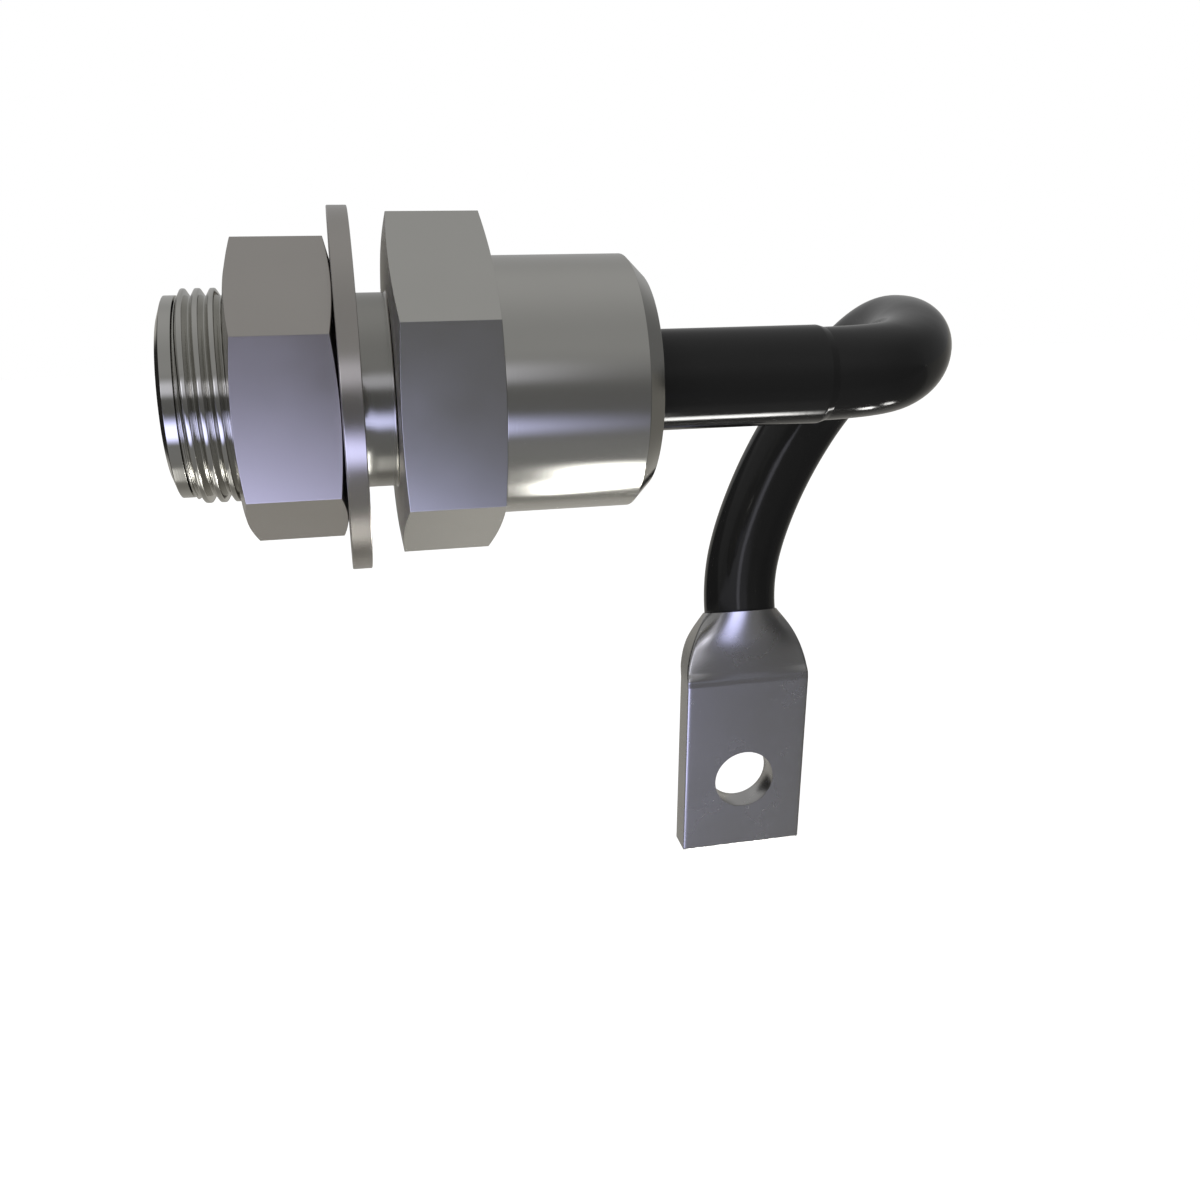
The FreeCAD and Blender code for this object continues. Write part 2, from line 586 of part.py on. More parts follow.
# The bared conductor lies in the crimp barrel at one end and in the lug's socket at the other.
bared_end = Part.makeCylinder(core_radius, value_of("conductor_reach"), route[0], -along_x)
lug_end = Part.makeCone(core_radius, value_of("socket_end_radius"), value_of("socket_depth"),
                        route[-1], down)
conductor_shape = core_sweep.fuse([bared_end, lug_end]).removeSplitter()

skin_section = math.pi * (lead_radius ** 2 - core_radius ** 2)
print("insulation volume against section times length",
      round(insulation_shape.Volume / (skin_section * lead_length), 5))
print("conductor sweep against section times length",
      round(core_sweep.Volume / (math.pi * core_radius ** 2 * lead_length), 5))

lead_insulation = doc.addObject("Part::Feature", "lead_insulation_solid")
lead_insulation.Label = "lead_insulation"
lead_insulation.Shape = insulation_shape
lead_insulation.Placement = Placement()

lead_conductor = doc.addObject("Part::Feature", "lead_conductor_solid")
lead_conductor.Label = "lead_conductor"
lead_conductor.Shape = conductor_shape
lead_conductor.Placement = Placement()

# Cable lug: a tube flattened into a tongue. The body's frame is the centre of the round end, where
# the lead enters; the dome runs down to the fold, and the tongue hangs below it.

cable_lug = new_body("cable_lug", LEAD_LEVEL + " + Dims.lead_h_x")
cable_lug.setExpression("Placement.Base.y",
                        "Dims.lead_h_y - Dims.lead_last_run * sin(Dims.lead_lean * 1 deg)")
cable_lug.setExpression("Placement.Base.z",
                        "Dims.lead_h_z - Dims.lead_last_run * cos(Dims.lead_lean * 1 deg)")

FOLD_Y = "-Dims.lug_dome_rise * tan(Dims.lug_dome_lean * 1 deg)"
FOLD_Z = "-Dims.lug_dome_rise"
DOME_START = "(Dims.lug_thickness + 2 * Dims.lug_step)"


def dome_section(name, share, width, thickness, corner):
    """A cross-section of the lug at a share of the way from the fold (0) up to the round end (1)."""
    sketch = new_sketch(cable_lug, name, "XY_Plane")
    sketch.AttachmentOffset = Placement(Vector(0, 0, 0), Rotation(Vector(1, 0, 0), 10))
    sketch.setExpression("AttachmentOffset.Base.y",
                         "(" + FOLD_Y + ") * (1 - pow(" + share + "; Dims.dome_centre_power))")
    sketch.setExpression("AttachmentOffset.Base.z", "(" + FOLD_Z + ") * (1 - " + share + ")")
    sketch.setExpression("AttachmentOffset.Rotation.Angle", "-Dims.lead_lean * 1 deg * " + share)
    rounded_rectangle(sketch, width, thickness, corner)
    return sketch


def dome_size(share):
    """Width, thickness and corner radius of the dome at a share of its rise.

    The width closes in slowly from the tongue and faster near the round end. The thickness grows
    evenly. The straight side keeps near the tongue's thickness low down and dies out above.
    """
    width = ("Dims.lug_width - (Dims.lug_width - 2 * Dims.lug_neck_radius) * pow(" + share
             + "; Dims.dome_width_power)")
    thickness = DOME_START + " + (2 * Dims.lug_neck_radius - " + DOME_START + ") * " + share
    flat = "Dims.lug_thickness * (1 - pow(" + share + "; Dims.dome_side_power)) + Dims.dome_flat_least"
    corner = "(" + thickness + " - (" + flat + ")) / 2"
    return width, thickness, corner


foot_section = dome_section("lug_fold_section", "0", "Dims.lug_width", "Dims.lug_thickness",
                            "Dims.lug_edge_radius")
step_section = dome_section("lug_step_section", "Dims.lug_step_share", *dome_size("Dims.lug_step_share"))
low_section = dome_section("lug_low_section", "Dims.dome_share_low", *dome_size("Dims.dome_share_low"))
mid_section = dome_section("lug_mid_section", "Dims.dome_share_mid", *dome_size("Dims.dome_share_mid"))
high_section = dome_section("lug_high_section", "Dims.dome_share_high", *dome_size("Dims.dome_share_high"))
round_section = dome_section("lug_round_section", "1", *dome_size("1"))

dome = cable_lug.newObject("PartDesign::AdditiveLoft", "lug_dome")
dome.Profile = step_section
dome.Sections = [low_section, mid_section, high_section, round_section]
dome.Ruled = False
doc.recompute()

step = cable_lug.newObject("PartDesign::AdditiveLoft", "lug_step_band")
step.Profile = foot_section
step.Sections = [step_section]
step.Ruled = True
doc.recompute()

tongue_sketch = dome_section("lug_tongue_section", "0", "Dims.lug_width", "Dims.lug_thickness",
                             "Dims.lug_edge_radius")
tongue = cable_lug.newObject("PartDesign::Pad", "lug_tongue")
tongue.Profile = tongue_sketch
tongue.setExpression("Length", "Dims.lug_length")
tongue.Reversed = True
doc.recompute()

hole_sketch = new_sketch(cable_lug, "lug_hole_circle", "XZ_Plane")
hole_height = -value_of("lug_dome_rise") - value_of("lug_hole_drop")
hole_circle = hole_sketch.addGeometry(
    Part.Circle(Vector(0, hole_height, 0), Vector(0, 0, 1), value_of("lug_hole_radius")), False)
hole_sketch.addConstraint(Sketcher.Constraint("PointOnObject", hole_circle, 3, -2))
hole_drop = hole_sketch.addConstraint(Sketcher.Constraint("DistanceY", hole_circle, 3, hole_height))
hole_sketch.renameConstraint(hole_drop, "drop")
hole_sketch.setExpression("Constraints.drop", "-Dims.lug_dome_rise - Dims.lug_hole_drop")
hole_size = hole_sketch.addConstraint(
    Sketcher.Constraint("Radius", hole_circle, value_of("lug_hole_radius")))
hole_sketch.renameConstraint(hole_size, "size")
hole_sketch.setExpression("Constraints.size", "Dims.lug_hole_radius")
hole = cable_lug.newObject("PartDesign::Pocket", "lug_hole")
hole.Profile = hole_sketch
hole.Type = "ThroughAll"
hole.Midplane = True
doc.recompute()

# The socket is a tapered bore along the lead's last run: a groove about that line.
socket_sketch = new_sketch(cable_lug, "lug_socket_profile", "YZ_Plane")
socket_sketch.AttachmentOffset = Placement(Vector(0, 0, 0), Rotation(Vector(0, 0, 1), -20))
socket_sketch.setExpression("AttachmentOffset.Rotation.Angle", "-Dims.lead_lean * 1 deg")
SOCKET_MOUTH = "Dims.stem_radius + Dims.terminal_clearance"
SOCKET_END = "Dims.socket_end_radius + Dims.terminal_clearance"
socket_points = [
    ("0", "0"),
    (SOCKET_MOUTH, "0"),
    (SOCKET_END, "-Dims.socket_depth - Dims.terminal_clearance"),
    ("0", "-Dims.socket_depth - Dims.terminal_clearance"),
]
closed_profile(socket_sketch, socket_points)
socket = cable_lug.newObject("PartDesign::Groove", "lug_socket")
socket.Profile = socket_sketch
socket.ReferenceAxis = (socket_sketch, ["V_Axis"])
socket.Angle = 360
doc.recompute()

# Checks and export

pieces = [
    stud_base, hex_nut, flat_washer, housing, weld_ring, lower_disc, wafer, upper_disc,
    passivation_ring, centring_ring, contact_electrode, insulating_bush, thrust_washer,
    disc_spring_1, disc_spring_2, disc_spring_3, pressure_ring, seal_eyelet, glass_seal,
    terminal_tube, lead_sleeve, lead_insulation, lead_conductor, cable_lug,
]

doc.recompute()
for thing in doc.Objects:
    state = " ".join(thing.State)
    if "Invalid" in state or "Error" in state:
        raise RuntimeError(thing.Name + " failed: " + state)

for cutter in doc.Objects:
    if cutter.isDerivedFrom("PartDesign::Pocket") or cutter.isDerivedFrom("PartDesign::Groove"):
        if cutter.Shape.Volume >= cutter.BaseFeature.Shape.Volume:
            raise RuntimeError(cutter.Name + " cut nothing")

os.makedirs("parts", exist_ok=True)
for piece in pieces:
    shape = piece.Shape
    if shape.isNull() or not shape.isValid() or len(shape.Solids) != 1:
        raise RuntimeError(piece.Label + " is not one valid solid")
    shape.exportStep(os.path.join("parts", piece.Label + ".step"))
    print(piece.Label, round(shape.Volume, 1))
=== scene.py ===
# %% [markdown]
# A stud diode with a crimped lead, rebuilt piece by piece.
#
# The object is a power rectifier: a plated copper base with a hexagon and a threaded stud, a drawn
# steel can that is welded to it, and a rubber-covered lead that leaves the can through a glass seal
# and ends in a flattened terminal lug. The CAD frame already holds every solid. Here each visible
# piece is made again with the small shapes that the solids leave out, such as the thread, the soft
# edges and the pressed lug, and each gets its finish.
#
# Everything is in metres, in the frame's own axes: x runs along the stud, z is up, and the camera
# looks roughly along +y.

import bpy
import numpy as np
from mathutils import Matrix


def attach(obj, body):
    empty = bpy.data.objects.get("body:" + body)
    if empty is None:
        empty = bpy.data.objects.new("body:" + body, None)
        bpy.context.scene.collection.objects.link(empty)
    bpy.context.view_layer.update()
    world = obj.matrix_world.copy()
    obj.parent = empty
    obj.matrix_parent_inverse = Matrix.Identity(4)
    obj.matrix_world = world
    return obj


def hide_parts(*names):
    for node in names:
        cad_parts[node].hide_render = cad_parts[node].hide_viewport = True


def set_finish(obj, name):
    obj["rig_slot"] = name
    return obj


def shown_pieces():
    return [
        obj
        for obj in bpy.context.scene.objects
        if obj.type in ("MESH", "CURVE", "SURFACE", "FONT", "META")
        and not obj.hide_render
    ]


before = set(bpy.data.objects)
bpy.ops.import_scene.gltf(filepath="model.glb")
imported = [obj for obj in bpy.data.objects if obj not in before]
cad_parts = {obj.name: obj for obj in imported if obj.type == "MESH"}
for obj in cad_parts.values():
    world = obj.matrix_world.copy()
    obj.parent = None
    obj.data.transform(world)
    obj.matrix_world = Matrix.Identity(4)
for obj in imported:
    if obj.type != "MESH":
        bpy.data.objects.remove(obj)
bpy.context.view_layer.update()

MM = 0.001

# %% [markdown]
# The camera stands a hand's breadth in front of the part and a little above it. The place and the
# lens were fitted to the photograph with the part's own edges: the corners of the two hexagons,
# the rims of the washer and the can, and the outline of the lug. Its axes are written as the
# picture's right, up and backward directions, which is what Blender's camera matrix holds.

# %% The camera
CAMERA_PLACE = (-0.006037, -0.128591, 0.023313)
PICTURE_RIGHT = (0.97551, -0.21992, 0.00236)
PICTURE_UP = (0.07484, 0.34201, 0.93671)
PICTURE_BACK = (-0.20681, -0.91360, 0.35010)

lens = bpy.data.cameras.new("photo_camera")
lens.sensor_width = 36.0
lens.lens = 35.361
lens.clip_start, lens.clip_end = 0.005, 60.0
camera = bpy.data.objects.new("photo_camera", lens)
axes = np.array([PICTURE_RIGHT, PICTURE_UP, PICTURE_BACK]).T
across, _, back_turned = np.linalg.svd(axes)
turned = np.eye(4)
turned[:3, :3] = across @ back_turned
turned[:3, 3] = CAMERA_PLACE
camera.matrix_world = Matrix(turned.tolist())
bpy.context.scene.collection.objects.link(camera)
bpy.context.scene.camera = camera
print("camera at", CAMERA_PLACE, "with a lens of", lens.lens, "mm")

# %% [markdown]
# Most pieces are turned or pressed, so each is one closed surface over two parameters: rows along
# a profile, columns around the axis. One helper joins such a grid of points to a mesh. A solid
# bar gets a centre point at each end, and a ring has its last row joined to its first. The sum of
# the signed volumes tells whether the faces point outwards, and turns them all if not.

# %% From a grid of points to a closed mesh
def closed_mesh(name, rows, ring):
    """rows is (rows, columns, 3) in metres. Quads join each point to the next row and column, the
    columns always closing on themselves, and the rows too where ring is true. Otherwise a fan of
    triangles to the mean of the end rows closes both ends."""
    count, around = rows.shape[:2]
    index = np.arange(count * around).reshape(count, around)
    first = index if ring else index[:-1]
    above = np.roll(index, -1, axis=0) if ring else index[1:]
    quads = np.stack([first, np.roll(first, -1, 1), np.roll(above, -1, 1), above], -1)
    quads = quads.reshape(-1, 4)
    points = rows.reshape(-1, 3)
    fans = np.zeros((0, 3), int)
    if not ring:
        points = np.vstack([points, rows[0].mean(0), rows[-1].mean(0)])
        low, high = len(points) - 2, len(points) - 1
        start, end = index[0], index[-1]
        fans = np.vstack([np.c_[np.roll(start, -1), start, np.full(around, low)],
                          np.c_[end, np.roll(end, -1), np.full(around, high)]])
    split = np.vstack([quads[:, [0, 1, 2]], quads[:, [0, 2, 3]], fans])
    a, b, c = (points[split[:, k]] for k in range(3))
    volume = np.einsum("ij,ij->i", a, np.cross(b, c)).sum() / 6
    if volume < 0:
        quads, fans = quads[:, ::-1], fans[:, ::-1]
    mesh = bpy.data.meshes.new(name)
    mesh.from_pydata(points.tolist(), [], quads.tolist() + fans.tolist())
    mesh.polygons.foreach_set("use_smooth", np.ones(len(mesh.polygons), bool))
    mesh.update()
    piece = bpy.data.objects.new(name, mesh)
    bpy.context.scene.collection.objects.link(piece)
    print("%s: %d faces, %.3f cm3" % (name, len(mesh.polygons), abs(volume) * 1e6))
    return piece


def place(piece, slot, *nodes):
    """The piece rides on the one body, stands for these nodes and takes the slot's finish."""
    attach(piece, "root")
    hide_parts(*nodes)
    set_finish(piece, slot)
    return piece


# %% [markdown]
# The lead is one rubber-covered stranded conductor, 10.7 mm thick. It comes straight out of the
# sleeve, turns away to the back, and hangs down to the lug. Its line is one NURBS spline with the
# corner points of its route, because a spline bends like a stiff lead does, where runs and arcs
# look like bent wire. Extruded rubber is round everywhere, so a round ring is carried along the
# line that Blender makes of that spline. Its length is what the photograph shows from end to end.

# %% The lead
LEAD_RADIUS, LEAD_AROUND = 5.35 * MM, 72
LEAD_ROUTE = np.array([
    (47.4, 0.0, 0.0), (55.8, 0.0, 0.0), (62.5, 5.1, 0.4), (67.7, 14.6, 1.7), (68.9, 26.9, 0.4),
    (64.6, 34.6, -8.7), (58.5, 34.8, -18.7), (54.0, 33.7, -28.7), (51.7, 31.75, -36.75),
    (51.7, 30.2109, -40.9786)]) * MM


def spline_line(corners, resolution):
    """The points, in order, that Blender gives for an open NURBS spline of order 3."""
    curve = bpy.data.curves.new("route", "CURVE")
    curve.dimensions = "3D"
    spline = curve.splines.new("NURBS")
    spline.points.add(len(corners) - 1)
    spline.points.foreach_set("co", np.c_[corners, np.ones(len(corners))].ravel())
    spline.order_u = 3
    spline.use_endpoint_u = True
    curve.resolution_u = resolution
    holder = bpy.data.objects.new("route", curve)
    mesh = bpy.data.meshes.new_from_object(holder)
    line = np.zeros(len(mesh.vertices) * 3)
    mesh.vertices.foreach_get("co", line)
    bpy.data.meshes.remove(mesh)
    bpy.data.objects.remove(holder)
    bpy.data.curves.remove(curve)
    return line.reshape(-1, 3)


def round_tube(line, radius, around):
    """Rings of radius about each point, across the line there. The tangent is the difference of
    the neighbours. One direction, to which the line never runs parallel, sets where rings start."""
    tangent = np.gradient(line, axis=0)
    tangent /= np.linalg.norm(tangent, axis=1)[:, None]
    side = np.cross(tangent, np.array([1.0, -1.0, 1.0]))
    side /= np.linalg.norm(side, axis=1)[:, None]
    up = np.cross(side, tangent)
    turn = np.linspace(0, 2 * np.pi, around, endpoint=False)[None, :, None]
    return line[:, None] + radius * (np.cos(turn) * side[:, None] + np.sin(turn) * up[:, None])


lead_line = spline_line(LEAD_ROUTE, 24)
lead = closed_mesh("lead", round_tube(lead_line, LEAD_RADIUS, LEAD_AROUND), ring=False)
place(lead, "black_rubber", "lead_insulation")
lead_steps = np.linalg.norm(np.diff(lead_line, axis=0), axis=1)
print("lead: %d rings, %.1f mm long" % (len(lead_line), lead_steps.sum() / MM))

# %% [markdown]
# A turned profile is a chain of corners in the plane of x and the distance from the axis. Real
# edges are never sharp: a tool or a burnish leaves a tiny round that catches the light. The next
# helper puts an arc at each corner, and a row just before and after it, so that the flats beside
# the arc stay flat in the shading. It works on whole arrays, so a corner may sit at another place
# for each angle, which is what a hexagon with a turned chamfer needs.

# %% Rounded profiles
def unit(vectors):
    """Each vector divided by its length."""
    return vectors / np.maximum(np.linalg.norm(vectors, axis=-1, keepdims=True), 1e-12)


def rounded_chain(corners, around, loop=False, steps=4):
    """corners is a list of (x, r, round), with x and r numbers or one value per angle. The arc at
    a corner has its centre on the line that halves the corner, and starts and ends where it
    touches both sides. Returns (rows, around, 2)."""
    spots = np.array([np.stack(np.broadcast_arrays(x, r, np.zeros(around))[:2], -1)
                      for x, r, _ in corners])
    rows = []
    for number, (x, r, radius) in enumerate(corners):
        at_end = not loop and number in (0, len(corners) - 1)
        here = spots[number]
        if at_end or radius == 0:
            rows.append(here)
            continue
        before = unit(spots[number - 1] - here)
        after = unit(spots[(number + 1) % len(corners)] - here)
        half = np.arccos(np.clip((before * after).sum(-1, keepdims=True), -1, 1)) / 2
        reach = radius / np.tan(half)
        centre = here + unit(before + after) * radius / np.sin(half)
        start, end = here + before * reach, here + after * reach
        sweep = np.pi - 2 * half
        rows.append(start + before * radius * 0.4)
        for share in np.linspace(0, 1, steps + 1):
            turn = (np.sin((1 - share) * sweep) * (start - centre)
                    + np.sin(share * sweep) * (end - centre)) / np.sin(sweep)
            rows.append(centre + turn)
        rows.append(end + after * radius * 0.4)
    return np.array(rows)


def about_stud(profile, angles):
    """Each (x, r) at its angle: y = r cos, z = r sin. Millimetres in, metres out."""
    x, r = profile[..., 0], profile[..., 1]
    return np.stack([x, r * np.cos(angles), r * np.sin(angles)], -1) * MM


# %% [markdown]
# Both hexagons are cold-drawn bar with slightly rounded corners, chamfered in the lathe at both
# ends, which leaves the curved line where a cone cuts each flat. Seen from the axis, a flat is
# a/cos(angle) away and a corner is a small circle. The chamfer then starts where the flat or the
# corner passes the cone, so its place along x follows from the distance at that angle.

# %% Hexagon
HEX_ROUND = 0.07
HEX_TOP = np.pi / 2


def hexagon_angles(steps):
    """Even angles with extra ones at the six corners, where the round needs them."""
    even = np.arange(0, 360, 360 / steps)
    corners = 90 + 60 * np.arange(6)
    near = np.array([-0.6, -0.17, -0.11, -0.055, 0.055, 0.11, 0.17, 0.6])
    return np.deg2rad(np.unique(np.round(np.concatenate(
        [even, (corners[:, None] + near).ravel() % 360]), 4)))


def hexagon_distance(angles, flats, round_radius=HEX_ROUND):
    """Distance from the axis to a hexagon with a corner straight up and rounded corners."""
    off_corner = np.abs((angles - HEX_TOP + np.pi / 6) % (np.pi / 3) - np.pi / 6)
    flat = flats / 2 / np.cos(np.pi / 6 - off_corner)
    centre = (flats / 2 - round_radius) / np.cos(np.pi / 6)
    inside = np.maximum(round_radius ** 2 - (centre * np.sin(off_corner)) ** 2, 0)
    corner = centre * np.cos(off_corner) + np.sqrt(inside)
    touches = off_corner < np.pi / 6 - np.arctan2(centre * 0.5, flats / 2)
    return np.where(touches, corner, flat)


# %% [markdown]
# The thread is rolled: a true right-hand screw line, M22x1.5, with flanks at 30 degrees, narrow
# flat crests and rounded roots. A curve swept along a helix would leave seams at the crests. The
# distance from the axis depends only on x minus the advance of the screw at that angle, folded
# into one pitch, so a plain grid over x and angle holds it. Near both ends it is cut by a cone, as
# a real lead-in and run-out are.

# %% Thread
PITCH = 1.5
CREST = 11.0
ROOT = 10.17
CREST_HALF = 0.24
CREST_AT_FRONT = -19.97
THREAD_PHASE = CREST_AT_FRONT - PITCH / 2
FLANK = np.tan(np.radians(30))
SOFT = 0.07


def thread_distance(x, angles):
    """A ramp from the crest to the root on both sides of the screw line, with the two bends of
    the ramp softened by a square root."""
    along = (x - THREAD_PHASE - PITCH * angles / (2 * np.pi) + PITCH / 2) % PITCH - PITCH / 2
    slope = (np.abs(along) - CREST_HALF) / FLANK
    down = (slope + np.sqrt(slope ** 2 + SOFT ** 2)) / 2
    deep = CREST - ROOT
    return CREST - (down + deep - np.sqrt((down - deep) ** 2 + SOFT ** 2)) / 2


# %% [markdown]
# Stud, neck, hexagon and the raised seat for the silicon are one turned piece of plated copper.
# It could be four pieces pushed into each other, but then the joints would show as hard lines
# and the mesh would not be closed. One grid runs from the stud's tip to the seat inside the can.
# Between the bevelled tip and the first thread the tool has left a narrow V groove.

# %% Stud and base
SEAT_CHAMFER = np.tan(np.radians(7.7))
SHOULDER_CHAMFER = np.tan(np.radians(7.6))
BASE_FLATS, SEAT_FACE, SHOULDER_FACE = 31.75, 15.54, 14.0
BASE_TOP, PEDESTAL, PEDESTAL_TOP = 10.52, 10.5, 12.02
NECK, NECK_END = 10.22, -4.2
TIP, TIP_FACE, TIP_RADIUS = -22.8, 8.7, 10.33
GROOVE, GROOVE_HALF, GROOVE_BOTTOM = -20.96, 0.1, 9.6
THREAD_START, THREAD_STEP = -20.8, 0.06
LEAD_IN_SLOPE, RUN_OUT_SLOPE = 1.8, 1.3
NEAR_AXIS = 0.4

angles = hexagon_angles(144)
around = len(angles)
far_out = hexagon_distance(angles, BASE_FLATS)
seat_edge = np.maximum(far_out - SEAT_FACE, 0) * SEAT_CHAMFER
shoulder_edge = BASE_TOP - (far_out - SHOULDER_FACE) * SHOULDER_CHAMFER

tip_rows = rounded_chain([
    (TIP, NEAR_AXIS, 0), (TIP, 4.0, 0), (TIP, TIP_FACE, 0.12), (TIP + 0.5, 10.12, 0.1),
    (TIP + 0.6, TIP_RADIUS, 0.06), (GROOVE - GROOVE_HALF, TIP_RADIUS, 0.02),
    (GROOVE, GROOVE_BOTTOM, 0.02), (GROOVE + GROOVE_HALF, TIP_RADIUS, 0.02),
    (THREAD_START - 0.03, TIP_RADIUS, 0)], around)
thread_x = np.arange(THREAD_START, NECK_END, THREAD_STEP)
thread_r = thread_distance(thread_x[:, None], angles)
lead_in = TIP_RADIUS + np.maximum(thread_x - THREAD_START, 0) * LEAD_IN_SLOPE
run_out = NECK + np.maximum(NECK_END - thread_x, 0) * RUN_OUT_SLOPE
thread_r = np.minimum(thread_r, np.minimum(lead_in, run_out)[:, None])
thread_rows = np.stack([np.broadcast_to(thread_x[:, None], thread_r.shape), thread_r], -1)
base_rows = rounded_chain([
    (NECK_END + 0.05, NECK, 0), (-2.0, NECK, 0), (0.0, NECK, 0.25), (0.0, 13.0, 0),
    (0.0, SEAT_FACE, 0.1), (seat_edge, far_out, 0.06), (shoulder_edge, far_out, 0.06),
    (BASE_TOP, SHOULDER_FACE, 0.1), (BASE_TOP, PEDESTAL + 0.1, 0), (PEDESTAL_TOP, PEDESTAL, 0.1),
    (PEDESTAL_TOP, 5.0, 0), (PEDESTAL_TOP, NEAR_AXIS, 0)], around)
stud_profile = np.concatenate([tip_rows, thread_rows, base_rows])
stud_base = place(closed_mesh("stud_and_base", about_stud(stud_profile, angles), ring=False),
                  "nickel_plated_copper", "stud_base")

# %% [markdown]
# The nut is the same kind of hexagon with a threaded bore. Its bore follows the stud's thread a
# twentieth of a millimetre outside it, with a countersink at both faces, so the two screw into
# each other as the real ones do and never touch in the mesh.

# %% Nut
NUT_FLATS, NUT_OUT, NUT_IN = 27.7, -15.88, -5.48
OUT_FACE, IN_FACE, COUNTERSINK, BORE_GAP = 13.2, 13.45, 11.6, 0.05
OUT_CHAMFER = np.tan(np.radians(14.3))
IN_CHAMFER = np.tan(np.radians(13.1))

nut_far = hexagon_distance(angles, NUT_FLATS)
nut_outside = rounded_chain([
    (NUT_OUT, COUNTERSINK, 0), (NUT_OUT, OUT_FACE, 0.15),
    (NUT_OUT + (nut_far - OUT_FACE) * OUT_CHAMFER, nut_far, 0.06),
    (NUT_IN - (nut_far - IN_FACE) * IN_CHAMFER, nut_far, 0.06),
    (NUT_IN, IN_FACE, 0.15), (NUT_IN, COUNTERSINK, 0)], around)
bore_x = np.linspace(NUT_IN, NUT_OUT, 170)
mouth = COUNTERSINK - np.minimum(bore_x - NUT_OUT, NUT_IN - bore_x)
bore_r = np.maximum(thread_distance(bore_x[:, None], angles) + BORE_GAP, mouth[:, None])
nut_bore = np.stack([np.broadcast_to(bore_x[:, None], bore_r.shape), bore_r], -1)[1:-1]
place(closed_mesh("nut", about_stud(np.concatenate([nut_outside, nut_bore]), angles), ring=True),
      "zinc_plated_steel", "hex_nut")

# %% [markdown]
# The flat washer is punched from sheet, so its edge is rounded on the side where the punch went
# in. The can is drawn from sheet steel, with a chamfered shoulder at its closed end. The sleeve
# is shrunk over the crimped tube and the first stretch of the lead, and tapers at its mouth. All
# three are plain rings. A cylinder with a bevel would round all their edges alike, and a profile
# gives each edge its own round.

# %% Washer, can and sleeve
WASHER, WASHER_BORE, WASHER_IN = 18.95, 11.5, -3.43
CAN, CAN_INSIDE, CAN_END, CAN_HOLE = 13.8, 12.5, 27.27, 7.3
CAN_CHAMFER, CAN_END_WALL = 2.0, 1.8
SLEEVE, SLEEVE_INSIDE, SLEEVE_MOUTH = 5.64, 5.25, 49.4
ring_angles = np.linspace(0, 2 * np.pi, 160, endpoint=False)


def turned_ring(name, corners, steps=5):
    """A closed profile of (x, r, round) turned about the stud's axis."""
    profile = rounded_chain(corners, len(ring_angles), loop=True, steps=steps)
    return closed_mesh(name, about_stud(profile, ring_angles), ring=True)


washer = place(turned_ring("washer", [
    (NUT_IN, WASHER_BORE, 0.15), (NUT_IN, WASHER, 0.12), (WASHER_IN, WASHER, 0.09),
    (WASHER_IN, WASHER_BORE, 0.15)]), "zinc_plated_steel", "flat_washer")
place(turned_ring("can", [
    (BASE_TOP, CAN_INSIDE, 0.1), (BASE_TOP, CAN, 0.08), (CAN_END - CAN_CHAMFER, CAN, 0.12),
    (CAN_END, CAN - CAN_CHAMFER, 0.12), (CAN_END, CAN_HOLE, 0.12),
    (CAN_END - CAN_END_WALL, CAN_HOLE, 0.1), (CAN_END - CAN_END_WALL, CAN_INSIDE, 0.4)]),
    "nickel_plated_steel", "housing")
place(turned_ring("sleeve", [
    (CAN_END, SLEEVE_INSIDE, 0), (CAN_END, SLEEVE, 0.1), (38.0, SLEEVE, 0),
    (SLEEVE_MOUTH - 0.9, SLEEVE, 0.6), (SLEEVE_MOUTH, 5.37, 0.02),
    (SLEEVE_MOUTH, SLEEVE_INSIDE, 0), (38.0, SLEEVE_INSIDE, 0)]), "black_sleeve", "lead_sleeve")

# %% [markdown]
# The neck lies in the narrow gap between the washer and the hexagon, where shade falls, so its
# colour is darkened there: this is painted shade. The seat face and the washer's faces were never
# reached by the polishing wheel, so they are matt and pale, while the dies that rolled the thread
# burnished it. A noise can't say which face is which. It follows the shape, so it is written on the
# mesh's faces as three shares that the finish reads.

# %% Shares of painted neck shade, mattness and burnish
def mark_faces(piece, name, wanted):
    """A share per face, which wanted gives from the face's x, its distance from the axis and the
    x part of its normal."""
    count = len(piece.data.polygons)
    middles, normals = np.zeros(count * 3), np.zeros(count * 3)
    piece.data.polygons.foreach_get("center", middles)
    piece.data.polygons.foreach_get("normal", normals)
    x, y, z = middles.reshape(-1, 3).T / MM
    share = wanted(x, np.hypot(y, z), normals[::3]).astype(np.float32)
    piece.data.attributes.new(name, "FLOAT", "FACE").data.foreach_set("value", share)
    print(piece.name, name, "faces:", int((share > 0).sum()))


# Painted shade: the neck's faces, between the washer and the hexagon, get a darker colour.
mark_faces(stud_base, "painted_neck_shade",
           lambda x, away, turned: (x > NECK_END) & (x < -0.02) & (away < NECK + 0.38))
mark_faces(stud_base, "matt", lambda x, away, turned: (abs(x - 0.25) < 0.3) & (turned < -0.9))
mark_faces(stud_base, "rolled", lambda x, away, turned: x < NECK_END - 0.05)
mark_faces(washer, "matt", lambda x, away, turned: 0.5 * (abs(turned) > 0.9))

# %% [markdown]
# The lug is one tinned copper tube, pressed flat at one end and punched. From the fold up, its
# section changes from a flat bar with straight sides to the round that grips the lead, and leans
# back with the hanging lead. A lofted tube of sections gives that pressed look, which bevelled
# boxes never would. Each section has two straight sides and a bulge in front and behind. On the
# tongue the bulge is flat with tight corners, above the fold it swells to a lens, and at the round
# end it is half a circle. The line of the front comes from its slope: a crease at the fold, a
# small step, the swell of the dome, and the curl towards the lead.

